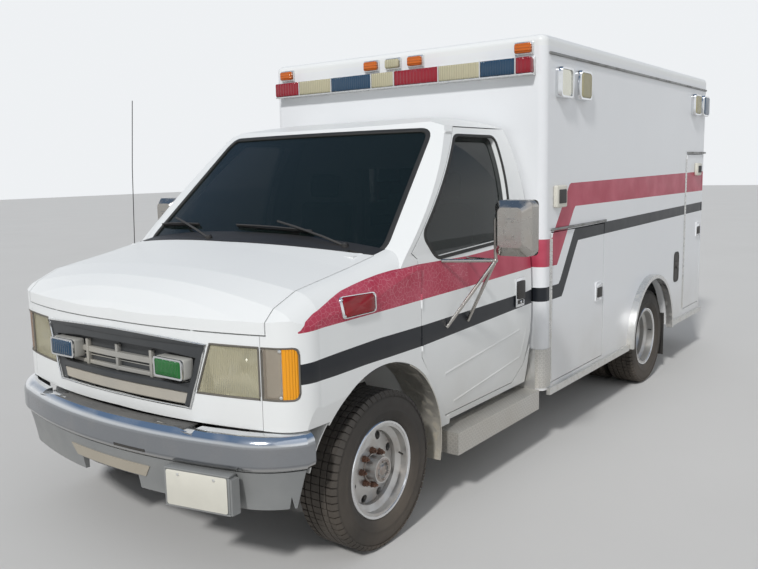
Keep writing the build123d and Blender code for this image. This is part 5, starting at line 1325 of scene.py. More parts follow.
@dataclass
class SideLamp:
    """A rectangular flood or warning lamp: bright bezel, reflector bowl and lens."""

    name: str
    centre: Point
    size: Pair
    out: Point
    lens: Look
    depth: float = 0.048
    bezel: float = 0.014

    def build(self) -> None:
        """Makes the bezel, the reflector and the lens."""
        direction = Vector(self.out)
        turn = direction.to_track_quat("Z", "Y").to_matrix().to_4x4()
        place = Matrix.Translation(self.centre) @ turn
        w, h = self.size[0] / 2, self.size[1] / 2
        corners = oblong((-w, w), (-h, h), 0.03, 4)
        inner = oblong((-w + self.bezel, w - self.bezel), (-h + self.bezel, h - self.bezel), 0.024, 4)

        def layer(outline: Line, scale: float, level: float) -> list[Vector]:
            """An outline scaled about the lamp's axis, at a level over the wall."""
            return [place @ Vector((a * scale, b * scale, level)) for a, b in outline]

        rim, deep = self.depth * 0.86, self.depth
        Form().rings([
            layer(corners, 1.0, OFF), layer(corners, 1.0, deep * 0.72), layer(corners, 0.97, rim),
            layer(inner, 1.0, rim), layer(inner, 1.0, 0.004),
        ]).build(self.name + "_bezel", Look.CHROME, "trim_bright")
        Form().rings([layer(inner, k, 0.006 + deep * 0.6 * k ** 2) for k in (0.12, 0.4, 0.7, 0.985)]).build(
            self.name + "_bowl", Look.REFLECTOR, "trim_bright")
        levels = ((0.985, 0.66), (0.985, 0.84), (0.93, 0.96), (0.5, 1.0), (0.02, 1.01))
        Form().rings([layer(inner, k, deep * level) for k, level in levels]).build(
            self.name + "_lens", self.lens, "module_lens")


@dataclass
class ModuleLamps:
    """Every lamp on the module's walls."""

    marker: Point = (0.12, 0.074, 0.04)
    marker_x: tuple[float, ...] = (-0.936, -0.176, 0.0, 0.176, 0.936)
    marker_z: float = 2.434
    flood: Pair = (0.232, 0.182)

    def markers(self) -> None:
        """Makes the small clearance lamps: a base and a ribbed lens each."""
        for end, face, out in (("front", MODULE_FRONT, -1.0), ("rear", MODULE_REAR, 1.0)):
            base = Form()
            for index, x in enumerate(self.marker_x):
                w, h, z = self.marker[0] / 2, self.marker[1] / 2, self.marker_z
                y = sorted((face + out * OFF, face + out * 0.014))
                base.box((x - w, y[0], z - h), (x + w, y[1], z + h), 0.004, 2)
                y = sorted((face + out * 0.012, face + out * self.marker[2]))
                ahead = Look.AMBER if x else Look.CLEAR_LENS
                kind = ahead if out < 0 else Look.RED_LENS
                w, h = w - 0.007, h - 0.008
                lens = Form().box((x - w, y[0], z - h), (x + w, y[1], z + h), 0.012, 3)
                lens.build("clearance_lens_%s_%d" % (end, index), kind, "module_lens", ["module_lamps"])
            base.build("clearance_bases_" + end, Look.TRIM, "trim_bright")

    def build(self) -> None:
        """Makes all the lamps."""
        self.markers()
        places = (
            ("a", MODULE_FRONT + 0.23, 2.244, Look.FLOOD_LENS),
            ("b", MODULE_FRONT + 0.52, 2.246, Look.YELLOW_LENS),
            ("c", MODULE_REAR - 0.42, 2.256, Look.YELLOW_LENS),
            ("d", MODULE_REAR - 0.15, 2.258, Look.BLUE_LENS),
        )
        tails = (("stop", 1.04, Look.RED_LENS), ("turn", 0.85, Look.AMBER), ("back", 0.66, Look.CLEAR_LENS))
        for side in Side:
            s, end, size = side.value, side.tag, (self.flood[1], self.flood[0] * 0.78)
            for tag, y, z, kind in places:
                SideLamp(
                    "side_lamp_%s_%s" % (tag, end), (s * MODULE_HALF, y, z), size, (s, 0, 0), kind
                ).build()
            place = (s * 0.86, MODULE_REAR, 2.23)
            SideLamp("rear_warning_" + end, place, self.flood, (0, 1, 0), Look.RED_LENS).build()
            for tag, z, kind in tails:
                place = (s * 0.83, MODULE_REAR, z)
                SideLamp("tail_%s_%s" % (tag, end), place, (0.11, 0.17), (0, 1, 0), kind, 0.04, 0.01).build()


# The front, the cab and the box


def nose_line(x: float) -> float:
    """The nose's foremost Y at a distance from the middle."""
    return NOSE_Y + 0.04 * (x / 0.582) ** 2


def grille_half(z: float) -> float:
    """Half the grille opening's width at a height."""
    return 0.582 + (z - 1.05) * 0.104 / 0.288


def at(table: Line, place: float) -> float:
    """A value between the entries of a short table, by place."""
    for (p, a), (q, b) in zip(table, table[1:]):
        if place <= q:
            return a + (b - a) * max(0.0, (place - p) / (q - p))
    return table[-1][1]


@dataclass
class Headlamps:
    """The headlamps beside the grille: fluted lens, bowl, seal and bulb shield."""

    low: float = 0.84
    high: float = 1.056
    outer: float = 0.8265
    columns: int = 30
    rows: int = 16
    bowl: float = 0.055

    def grid(self, skin: Skin) -> list[list[Vector]]:
        """Points on the lamp's face, in rows from the bottom."""
        rows = []
        for z in spaced(self.low, self.high, self.rows):
            row = []
            for x in spaced(grille_half(z) + 0.013, self.outer, self.columns):
                spot = skin.front(x, z)
                y = spot.place.y if spot else (row[-1].y if row else nose_line(x))
                row.append(Vector((x, y, z)))
            rows.append(row)
        return rows

    def build(self) -> None:
        """Makes both lamps."""
        face = self.grid(Skin("front_lamps", "nose_panel"))
        lens, bowl = Form(), Form()
        back = Vector((0.0, 0.004, 0.0))
        bulged = []
        for row, v in zip(face, spaced(-1, 1, self.rows)):
            rises = (max(0.0, (1 - u * u) * (1 - v * v)) for u in spaced(-1, 1, self.columns))
            bulged.append([p + Vector((0.0, 0.008 + self.bowl * r ** 0.6, 0.0)) for p, r in zip(row, rises)])
        lens.slab(face, [[p + back for p in row] for row in face])
        bowl.slab(bulged, [[p + back for p in row] for row in bulged])
        lens.both().build("headlamp_lenses", Look.HEADLAMP, "lamp_clear", ["front_lamps"])
        bowl.both().build("headlamp_bowls", Look.REFLECTOR, "lamp_clear")
        rim = [tuple(p - Vector((0.0, 0.001, 0.0))) for p in around(face)]
        Form().tube(rim, 0.0048, 8, True).both().build("headlamp_seals", Look.SEAL, "cowl_black")
        middle = face[self.rows // 2][self.columns // 2]
        shield = Form().lathe(
            [(0.0, 0.0), (0.0, 0.021), (0.03, 0.021), (0.036, 0.012)],
            tuple(middle + Vector((0, 0.01, 0))), 24, Along.Y
        )
        shield.both().build("headlamp_shields", Look.CHROME, "lamp_clear")


@dataclass
class CornerLamps:
    """The lamps round the nose's corners: clear inner part, amber outer part, seal and screws."""

    low: float = 0.84
    high: float = 1.056
    columns: int = 36
    rows: int = 12
    corner: float = 0.03
    amber: float = 0.56

    def path(self, skin: Skin) -> list[Spot]:
        """Evenly spaced places round the corner at mid height."""
        rough = []
        for k in range(181):
            turn = radians(k * 0.5)
            out = Vector((sin(turn), -cos(turn), 0.0))
            spot = skin.meet(tuple(Vector((0.8, -2.74, 0.948)) + out), tuple(-out))
            if spot and spot.place.x >= 0.838 and spot.place.y <= -2.756:
                rough.append(spot)
        reach = [0.0]
        for a, b in zip(rough, rough[1:]):
            reach.append(reach[-1] + (b.place - a.place).length)
        out = []
        for want in spaced(0.0, reach[-1], self.columns):
            out.append(rough[min(range(len(reach)), key=lambda i: abs(reach[i] - want))])
        return out

    def build(self) -> None:
        """Makes both lamps."""
        skin = Skin("front_lamps")
        path = self.path(skin)
        length = sum((b.place - a.place).length for a, b in zip(path, path[1:]))
        face: list[list[Vector]] = []
        normals = []
        for j in range(self.rows + 1):
            row, out = [], []
            for i, spot in enumerate(path):
                left = max(0.0, self.corner - length * (1 - i / self.columns))
                trim = self.corner - sqrt(max(0.0, self.corner ** 2 - left ** 2))
                low, high = self.low + trim, self.high - trim
                z = low + (high - low) * j / self.rows
                flat = Vector((spot.normal.x, spot.normal.y, 0.0)).normalized()
                met = skin.meet(tuple(Vector((spot.place.x, spot.place.y, z)) + flat * 0.2), tuple(-flat))
                place = met.place if met else Vector((spot.place.x, spot.place.y, z))
                row.append(place)
                out.append(flat)
            face.append(row)
            normals.append(out)

        def sunk(depth: float, first: int, last: int) -> list[list[Vector]]:
            """The face moved inwards, between two columns."""
            return [
                [p - n * depth for p, n in zip(row[first:last], out[first:last])] for row,
                out in zip(face, normals)
            ]

        cut, last = int(self.columns * self.amber), self.columns + 1
        for name, kind, depth, begin, end in (
            ("corner_lens_clear", Look.CORNER_CLEAR, 0.0, 0, cut + 1),
            ("corner_lens_amber", Look.CORNER_AMBER, 0.0, cut, last),
            ("corner_bowls", Look.REFLECTOR, 0.014, 0, last),
        ):
            plate = Form().slab(sunk(depth, begin, end), sunk(depth + 0.004, begin, end))
            plate.both().build(name, kind, "lamp_clear")
        rim = [tuple(p) for p in around(face)]
        Form().tube(rim, 0.0045, 8, True).both().build("corner_seals", Look.SEAL, "cowl_black")
        screws, middle = Form(), self.columns // 2
        for row, inset in ((0, 0.012), (self.rows, -0.012)):
            screws.stud(Spot(face[row][middle] + Vector((0, 0, inset)), normals[row][middle]), 0.007, 0.004)
        screws.both().build("corner_screws", Look.TRIM, "trim_bright")


@dataclass
class GrilleLights:
    """The two coloured lights on the grille: silver housing, bezel and fluted lens."""

    x: float = 0.395
    z: float = 0.938
    half: Pair = (0.093, 0.044)

    def build(self) -> None:
        """Makes both lights."""
        front, rear = NOSE_Y - 0.018, NOSE_Y + 0.05
        for side, kind in ((Side.LEFT, Look.GREEN_LENS), (Side.RIGHT, Look.BLUE_LENS)):
            x, (w, h) = side.value * self.x, self.half
            body = Form().box((x - w, front + 0.006, self.z - h), (x + w, rear, self.z + h), 0.01, 3)
            body.build("grille_light_housing_" + side.tag, Look.HOUSING, "lamp_clear")
            outer = oblong((x - w, x + w), (self.z - h, self.z + h), 0.014)
            inner = oblong((x - w + 0.009, x + w - 0.009), (self.z - h + 0.008, self.z + h - 0.008), 0.01)
            levels = (
                (outer, front + 0.006), (outer, front - 0.002), (inner, front - 0.002),
                (inner, front + 0.006)
            )
            Form().rings([[Vector((a, y, b)) for a, b in ring] for ring, y in levels], closed=True).build(
                "grille_light_bezel_" + side.tag, Look.CHROME, "trim_bright")
            dome = [
                [Vector((x + (a - x) * k, y, self.z + (b - self.z) * k)) for a, b in inner]
                for k, y in (
                    (0.99, front + 0.004), (0.99, front - 0.001), (0.9, front - 0.004),
                    (0.5, front - 0.006), (0.02, front - 0.006)
                )
            ]
            Form().rings(dome).build("grille_light_lens_" + side.tag, kind, "module_lens")


def even(*half: Pair) -> list[Pair]:
    """A table of (x, z) over both sides, from its half on the left."""
    return [(-x, z) for x, z in reversed(half) if x] + list(half)


@dataclass
class GrilleTrim:
    """The grille: charcoal surround, bright edge, recessed pale bars, dividers and the strip under it."""

    columns: int = 40
    arch: float = 0.021
    fins: int = 5
    fin_pitch: float = 0.036
    fin_half: float = 0.47

    def bar(
        self, form: Form, low: Line, high: Line, front: float, back: float, soft: float = 0.003,
    ) -> None:
        """Adds a bar across the grille with its face following the nose.

        Args:
            form: The form it goes into.
            low: Heights of its lower edge as (x, z).
            high: Heights of its upper edge as (x, z).
            front: How far its face stands behind the nose's line.
            back: How far its back stands behind the nose's foremost place.
            soft: Rounding of its edges.
        """
        rings = []
        for x in spaced(low[0][0], low[-1][0], self.columns):
            a, b, y = at(low, x), at(high, x), nose_line(x) + front
            rear = max(NOSE_Y + back, y + soft)
            rings.append([Vector((x, q, r)) for q, r in (
                (rear, a), (y + soft, a), (y, a + soft), (y, b - soft), (y + soft, b), (rear, b),
            )])
        form.rings(rings)

    def build(self) -> None:
        """Makes all of the grille's parts."""
        dark, pale, bright, strip = Form(), Form(), Form(), Form()
        w, half = grille_half, 0.579
        low = even((0.0, 1.008), (0.3, 1.004), (w(0.99) - 0.02, 0.984))
        self.bar(dark, low, even((0.0, 1.049), (half, 1.049)), 0.0, 0.05)
        panel = Skin("nose_panel")
        face, back = [], []
        for x in spaced(-0.57, 0.57, 24):
            top = 1.0525 + self.arch * (1 - (x / half) ** 2)
            spots = found(panel.front(x, 1.0515 + (top - 1.0515) * j / 3) for j in range(4))
            if len(spots) == 4:
                face.append([Vector((x, nose_line(x) - 0.004, 1.04))] + [s.out(0.005) for s in spots])
                back.append([Vector((x, nose_line(x) + 0.004, 1.04))] + [s.out(-OFF) for s in spots])
        dark.slab(face, back)
        low = even((0.34, 0.832), (w(0.84) - 0.004, 0.829))
        self.bar(dark, low, even((0.0, 0.86), (0.42, 0.866), (w(0.87) - 0.004, 0.889)), 0.0, 0.05)
        for side in (-1, 1):
            rings = []
            for z in spaced(0.768, 1.046, 12):
                outer, inner = w(z) - 0.002, w(z) - 0.046
                rings.append([Vector((side * x, nose_line(x) + y, z)) for x, y in (
                    (outer, 0.02), (outer, 0.002), (outer - 0.006, 0.0), (inner + 0.006, 0.0), (inner, 0.006),
                    (inner, 0.024),
                )])
            dark.rings(rings)
        # Painted shade: a charcoal sheet just behind the bars fills the grille's openings in place of the
        # shade in them
        dark.box((-0.576, NOSE_Y + 0.051, 0.764), (0.576, NOSE_Y + 0.058, 1.048), 0.002, 1)
        dark.build("grille_surround", Look.GRILLE_DARK, "grille_grey", ["grille"])
        self.bar(pale, even((w(0.93) - 0.04, 0.923)), even((w(0.93) - 0.04, 0.95)), 0.026, 0.056)
        self.bar(pale, even((w(0.87) - 0.05, 0.864)), even((w(0.87) - 0.05, 0.883)), 0.03, 0.058)
        for x in (-0.262, -0.031, 0.216):
            pale.box((x - 0.009, NOSE_Y + 0.03, 0.862), (x + 0.009, NOSE_Y + 0.052, 0.986), 0.003, 2)
        pale.build("grille_bars", Look.GRILLE_PALE, "grille_grey")
        self.bar(strip, even((w(0.775) - 0.03, 0.775)), even((w(0.829) - 0.03, 0.829)), 0.006, 0.05, 0.006)
        strip.build("grille_lower_strip", Look.STRIP, "grille_grey")
        trail = [(x, 1.051 + self.arch * (1 - (x / half) ** 2)) for x in spaced(-half, half, 24)]
        corners = [*trail, (w(0.772), 0.768), (-w(0.772), 0.768)]
        met = [(panel.front(x, z), x, z) for x, z in along([*corners, corners[0]], 0.04)[:-1]]
        path = [
            tuple(s.out(0.005)) if s and s.place.y < nose_line(x) + 0.02 else (x, nose_line(x) - 0.004, z)
            for s, x, z in met
        ]
        bright.tube(path, 0.0042, 8, True)
        bright.build("grille_bright_edge", Look.TRIM, "trim_bright")
        fins = Repeat(Pattern.ROW, self.fins, (0.0, 0.0, self.fin_pitch), (0.0, NOSE_Y + 0.047, 0.8))
        fin = Form().box((-self.fin_half, -0.003, -0.002), (self.fin_half, 0.004, 0.002), 0.001, 1)
        Form().take(fins.spread(fin, Look.GRILLE_PALE)).build("grille_fins", Look.GRILLE_PALE, "grille_grey")


@dataclass
class BumperTrim:
    """Step pad, blank plate in its moulded rim, air inlet insert, and the slot beside it as a black sheet of
    painted shade.
    """

    pad: tuple[float, float] = (-0.434, 0.49)
    plate: Point = (0.612, -3.008, 0.463)
    plate_size: Pair = (0.305, 0.152)
    turn: float = 12.0

    def sheet(self, skin: Skin, corners: Line, out: float) -> Form:
        """A plate on a surface between four corners, from the lower one on the right round to the left."""
        (x0, z0), (x1, _), (x2, z1), (x3, _) = corners
        face, back = [], []
        for z, a, b in zip(spaced(z0, z1, 6), spaced(x0, x3, 6), spaced(x1, x2, 6)):
            spots = found(skin.front(x, z) for x in spaced(a, b, 24))
            if len(spots) == 25:
                face.append([s.out(out) for s in spots])
                back.append([s.out(-OFF) for s in spots])
        return Form().slab(face, back)

    def build(self) -> None:
        """Makes the parts."""
        bumper, valance = Skin("front_bumper"), Skin("front_valance")
        face, back = [], []
        for j in range(6):
            row, under = [], []
            for i, x in enumerate(spaced(*self.pad, 40)):
                y = FRONT_Y - 0.83 + 0.098 * (x / 0.74) ** 2 + 0.03 + 0.09 * j / 5
                spot = bumper.top(x, y)
                rise = 0.004 if j in (0, 5) or i in (0, 40) else 0.009
                z = min(max(spot.place.z, 0.691), 0.7055) if spot else 0.691
                row.append(Vector((x, y, z + rise)))
                under.append(Vector((x, y, z - OFF)))
            face.append(row)
            back.append(under)
        Form().slab(face, back).build("bumper_step_pad", Look.PAD, "cowl_black")
        place = Matrix.Translation(self.plate) @ Matrix.Rotation(radians(self.turn), 4, "Z")
        w, h = self.plate_size[0] / 2, self.plate_size[1] / 2
        plate = Form().prism(oblong((-w, w), (-h, h), 0.012), Along.Y, -0.012, -0.009, 0.0006)
        plate.mesh.transform(place)
        plate.build("front_plate_blank", Look.CREAM, "trim_bright")
        rim = Form()
        for low in (-h - 0.01, h):
            rim.box((-w - 0.012, -0.01, low), (w + 0.012, 0.04, low + 0.01), 0.004, 2, place)
        for side in (-1, 1):
            rim.box(
                (side * (w + 0.006) - 0.006, -0.01, -h), (side * (w + 0.006) + 0.006, 0.04, h), 0.004, 2,
                place
            )
        rim.box((-w, -0.0088, -h), (w, 0.03, h), 0.002, 1, place)
        rim.build("front_plate_holder", Look.VALANCE, "valance_grey")
        bolts = Form()
        for x in (-0.09, 0.09):
            head = Spot(place @ Vector((x, -0.012, h - 0.016)), place.to_3x3() @ Vector((0, -1, 0)))
            bolts.stud(head, 0.007, 0.004, 6)
        bolts.build("front_plate_bolts", Look.TRIM, "trim_bright")
        insert = [(-0.25, 0.446), (0.262, 0.446), (0.3, 0.5), (-0.285, 0.5)]
        self.sheet(valance, insert, 0.004).build("valance_insert", Look.INSERT, "valance_grey")
        # The slot is a black sheet on the bumper's face: painted shade in place of the opening
        slot = [(0.109, 0.573), (0.307, 0.573), (0.307, 0.585), (0.109, 0.585)]
        self.sheet(bumper, slot, 0.0012).build("bumper_slots", Look.BLACK, "bumper_chrome")


@dataclass
class WindscreenTrim:
    """The windscreen's rubber, the wipers and the cowl's slats."""

    radius: float = 3.353
    slats: int = 12
    slat_pitch: float = 0.024
    slats_from: Pair = (0.5, -0.78)
    outline: tuple[Pair, ...] = ((-0.867, 1.364), (0.867, 1.364), (0.75, 1.959), (-0.75, 1.959))

    def spot(self, x: float, z: float) -> Spot:
        """The place on the screen's curve at a distance from the middle and a height."""
        lean, depth = 0.639 / 0.591, sqrt(self.radius ** 2 - x * x)
        y = FRONT_Y + 0.195 - 0.12 + self.radius - depth + (z - 1.368) * 0.639 / 0.591
        return Spot(Vector((x, y, z)), Vector((x / depth, -1.0, lean)).normalized())

    def build(self) -> None:
        """Makes the parts."""
        corners = rounded(self.outline, 0.06, 6)
        trail = [self.spot(x, z) for x, z in along([*corners, corners[0]], 0.05)[:-1]]
        trail = [s for i, s in enumerate(trail) if (s.place - trail[i - 1].place).length > 0.004]
        section = [
            (-0.016, -0.006), (-0.014, 0.002), (-0.006, 0.0045), (0.008, 0.004), (0.013, 0.0),
            (0.013, -0.006)
        ]
        Form().moulding(trail, section, True).build("windscreen_rubber", Look.RUBBER, "cowl_black")
        arms, blades, caps = Form(), Form(), Form()
        for pivot, elbow, start, end in (
            ((-0.165, -2.196, 1.412), (-0.706, -1.939, 1.481), (-0.845, 1.448), (-0.444, 1.462)),
            ((0.683, -2.092, 1.393), (0.186, -2.008, 1.482), (-0.108, 1.466), (0.427, 1.448)),
        ):
            hub, tip = Vector(pivot), self.spot(elbow[0], elbow[2]).out(0.022)
            near = hub.lerp(tip, 0.28) + Vector((0, -0.01, 0.01))
            arms.tube(
                [
                    tuple(hub), tuple(hub.lerp(near, 0.5)), tuple(near),
                    tuple(hub.lerp(tip, 0.7) + Vector((0, -0.008, 0.008))), tuple(tip)
                ],
                0.006, 10
            )
            caps.lathe([(-0.03, 0.018), (0.01, 0.018), (0.018, 0.012), (0.02, 0.0)], pivot, 20, Along.Z)
            count = 8
            ends = (spaced(a, b, count) for a, b in zip(start, end))
            line = [self.spot(x, z) for x, z in zip(*ends)]
            blades.moulding(
                line,
                [
                    (-0.001, -0.0055), (-0.005, 0.004), (-0.005, 0.01), (0.005, 0.01), (0.005, 0.004),
                    (0.001, -0.0055)
                ]
            )
            bow = [tuple(s.out(0.012 + 0.008 * sin(tau / 2 * k / count))) for k, s in enumerate(line)]
            arms.tube(bow, 0.004, 8)
        arms.build("wiper_arms", Look.DARK, "cowl_black")
        blades.build("wiper_blades", Look.RUBBER, "cowl_black")
        caps.build("wiper_pivots", Look.BLACK, "cowl_black")
        cowl, slats = Skin("cowl"), Form()
        for start in self.slats_from:
            for k in range(self.slats):
                x = start + self.slat_pitch * k
                trail = found(
                    cowl.top(x + 0.02 * v, FRONT_Y - 0.075 + 0.085 * v + 0.06 * (x / 0.9) ** 2)
                    for v in (0.0, 0.33, 0.66, 1.0)
                )
                low = len(trail) == 4 and max(s.place.z for s in trail) < 1.45
                if low and min(s.normal.z for s in trail) > 0.3:
                    slats.moulding(
                        trail, [(-0.004, -0.001), (-0.0035, 0.004), (0.0035, 0.004), (0.004, -0.001)]
                    )
        if slats.mesh.verts:
            slats.build("cowl_slats", Look.BLACK, "cowl_black")


@dataclass
class CabDoorTrim:
    """Window rubber, corner panel, handle, seams and drip line of the cab doors."""

    window: tuple[Pair, ...] = ((0.47, 1.32), (0.369, 1.435), (0.896, 1.922), (1.33, 1.922), (1.238, 1.351))
    corner: tuple[Pair, ...] = (
        (0.474, 1.316), (0.424, 1.345), (0.4, 1.4), (0.404, 1.45), (0.424, 1.5), (0.52, 1.59), (0.5, 1.45),
        (0.535, 1.33)
    )
    handle_z: Pair = (0.952, 1.108)
    handle_y: float = FRONT_Y + 1.32
    least_x: float = 0.82

    def pressed(self, skin: Skin, form: Form, line: Line, section: Line, closed: bool = False) -> None:
        """Lays a strip on the side along (y from the front axle, z) corners."""
        points = along([*line, line[0]] if closed else line, 0.03)
        spots = found(skin.side(FRONT_Y + y, z) for y, z in (points[:-1] if closed else points))
        spots = [s for s in spots if s.place.x > self.least_x]
        if len(spots) > 2:
            form.moulding(spots, section, closed)

    def build(self) -> None:
        """Makes the parts on both sides."""
        door, shell = Skin("cab_door_left"), Skin("cab_shell")
        both = Skin("cab_door_left", "cab_shell")
        rubber = Form()
        line = grown(rounded(self.window, 0.04, 5), 0.007)
        self.pressed(
            door, rubber, line,
            [(-0.009, -0.004), (-0.008, 0.003), (0.006, 0.0035), (0.009, 0.0), (0.009, -0.004)], True
        )
        rubber.each_side("door_window_rubber", Look.RUBBER, "cowl_black")
        rings = []
        spots = [both.side(FRONT_Y + y, z) for y, z in rounded(self.corner, 0.02, 3)]
        if all(spots):
            middle = sum((s.place for s in spots), Vector()) / len(spots)
            for level, k in ((-0.001, 1.0), (0.004, 1.0), (0.006, 0.94), (0.006, 0.5), (0.006, 0.02)):
                rings.append([middle + (s.out(level) - middle) * k for s in spots])
            Form().rings(rings).each_side("door_corner_panel", Look.BLACK, "cowl_black", "body")
        x = 1.0172
        y, (low, high) = self.handle_y, self.handle_z
        plate = Form().box(
            (x - 0.004, y - 0.052, low - 0.006), (x + 0.003, y + 0.052, high + 0.006), 0.003, 2
        )
        plate.box((x + 0.002, y - 0.046, low), (x + 0.005, y + 0.046, low + 0.012), 0.0015, 1)
        plate.each_side("door_handle_plate", Look.CHROME, "trim_bright")
        paddle = Form().box((x + 0.003, y - 0.04, low + 0.04), (x + 0.016, y + 0.04, high - 0.01), 0.006, 3)
        paddle.box((x + 0.003, y - 0.036, low + 0.01), (x + 0.0055, y + 0.036, low + 0.034), 0.001, 1)
        paddle.each_side("door_handle", Look.BLACK, "cowl_black")
        Form().stud(Spot(Vector((x + 0.005, y, low + 0.022)), Vector((1, 0, 0))), 0.009, 0.005, 16).each_side(
            "door_lock", Look.CHROME, "trim_bright")
        press = Form()
        low_section = [(-0.01, -0.001), (-0.004, 0.0022), (0.004, 0.0022), (0.01, -0.001)]
        self.pressed(door, press, [(0.522, 0.716), (1.34, 0.8)], low_section)
        self.pressed(door, press, [(0.64, 0.54), (1.381, 0.629), (1.435, 0.795)], low_section)
        press.each_side("door_pressing", Look.CAB, "door_white")
        drip = Form()
        self.pressed(
            shell, drip, [(0.66, 1.925), (0.713, 1.94), (1.459, 1.962)],
            [(-0.005, -0.002), (-0.006, 0.007), (0.0, 0.011), (0.006, 0.006), (0.005, -0.002)]
        )
        if drip.mesh.verts:
            drip.each_side("cab_drip_rail", Look.CAB, "cab_white", "body")


@dataclass
class MirrorTrim:
    """Glass, rim, centre plate and rivets on the mirrors."""

    x: Pair = (1.2, 1.4)
    z: Pair = (1.317, 1.592)
    rear: float = FRONT_Y + 0.749
    front: float = FRONT_Y + 0.634

    def build(self) -> None:
        """Makes the parts on both sides."""
        (x0, x1), (z0, z1) = self.x, self.z
        pane = oblong((x0 + 0.01, x1 - 0.01), (z0 + 0.01, z1 - 0.01), 0.018)
        glass = Form().prism(pane, Along.Y, self.rear, self.rear + 0.002, 0.0005)
        glass.each_side("mirror_glass", Look.MIRROR, "mirror_chrome")
        ring = oblong((x0 + 0.004, x1 - 0.004), (z0 + 0.004, z1 - 0.004), 0.022)
        Form().tube(
            [(a, self.rear, b) for a, b in ring], 0.0042, 8, True
        ).each_side("mirror_rim", Look.RUBBER, "cowl_black")
        x, z = (x0 + x1) / 2, (z0 + z1) / 2
        plate = Form().box(
            (x - 0.03, self.front - 0.002, z - 0.05), (x + 0.03, self.front + 0.001, z + 0.05), 0.0015, 1
        )
        for a in (-0.018, 0.018):
            for b in (-0.036, 0.036):
                plate.stud(Spot(Vector((x + a, self.front - 0.003, z + b)), Vector((0, -1, 0))), 0.005, 0.004)
        plate.each_side("mirror_plate", Look.STAINLESS, "mirror_chrome")


@dataclass
class FenderLamps:
    """The red marker lamp on each fender: bright bezel, fluted lens and corner screws."""

    y: Pair = (-0.3, -0.07)
    z: Pair = (1.134, 1.222)

    def build(self) -> None:
        """Makes the lamp on both sides."""
        skin = Skin("fenders")
        (y0, y1), (z0, z1) = self.y, self.z
        outline = oblong(self.y, self.z, 0.02)
        spots = found(skin.side(FRONT_Y + y, z) for y, z in outline)
        if len(spots) < len(outline):
            return
        middle = sum((s.place for s in spots), Vector()) / len(spots)

        def ring(scale: float, level: float) -> list[Vector]:
            """The outline shrunk about its middle and lifted off the fender."""
            return [middle + (s.place - middle) * scale + s.normal * level for s in spots]

        bezel = ((1.0, -0.001), (1.0, 0.008), (0.97, 0.012), (0.9, 0.012), (0.88, 0.006))
        dome = ((0.885, 0.005), (0.885, 0.011), (0.8, 0.017), (0.5, 0.019), (0.02, 0.0195))
        for levels, name, kind, slot in (
            (bezel, "fender_lamp_bezel", Look.CHROME, "trim_bright"),
            (dome, "fender_lamp_lens", Look.RED_LENS, "module_lens"),
        ):
            Form().rings([ring(*level) for level in levels]).each_side(name, kind, slot, "body")
        screws = Form()
        for y in (y0 + 0.013, y1 - 0.013):
            for z in (z0 + 0.012, z1 - 0.012):
                spot = skin.side(FRONT_Y + y, z)
                screws.stud(Spot(spot.out(0.011), spot.normal), 0.006, 0.004)
        screws.each_side("fender_lamp_screws", Look.TRIM, "trim_bright", "body")
        base = (-0.905, FRONT_Y + 0.094, 1.315)
        mast = Form().lathe([(-0.02, 0.02), (0.012, 0.018), (0.03, 0.008), (0.036, 0.0)], base, 20, Along.Z)
        mast.tube(
            [
                (base[0], base[1], base[2] + 0.02), (base[0], base[1] + 0.02, 1.8),
                (base[0], base[1] + 0.05, 2.185)
            ],
            0.0024, 8
        )
        mast.build("aerial", Look.BLACK, "cowl_black")


@dataclass(frozen=True)
class BoxDoor:
    """A door in the box's side: its body's name, its edges and its latch's height, from the box's front."""

    name: str
    side: Side
    front: float
    rear: float
    low: float
    high: float
    latch: float


BOX_DOORS = (
    BoxDoor("compartment_door_left_front", Side.LEFT, 0.109, 0.964, 0.425, 1.352, 0.89),
    BoxDoor("compartment_door_left_rear", Side.LEFT, 2.905, 3.399, 0.455, 1.825, 1.14),
    BoxDoor("compartment_door_right_rear", Side.RIGHT, 2.905, 3.399, 0.455, 1.825, 1.14),
    BoxDoor("side_door", Side.RIGHT, 0.56, 1.33, 0.425, 2.13, 1.12),
)


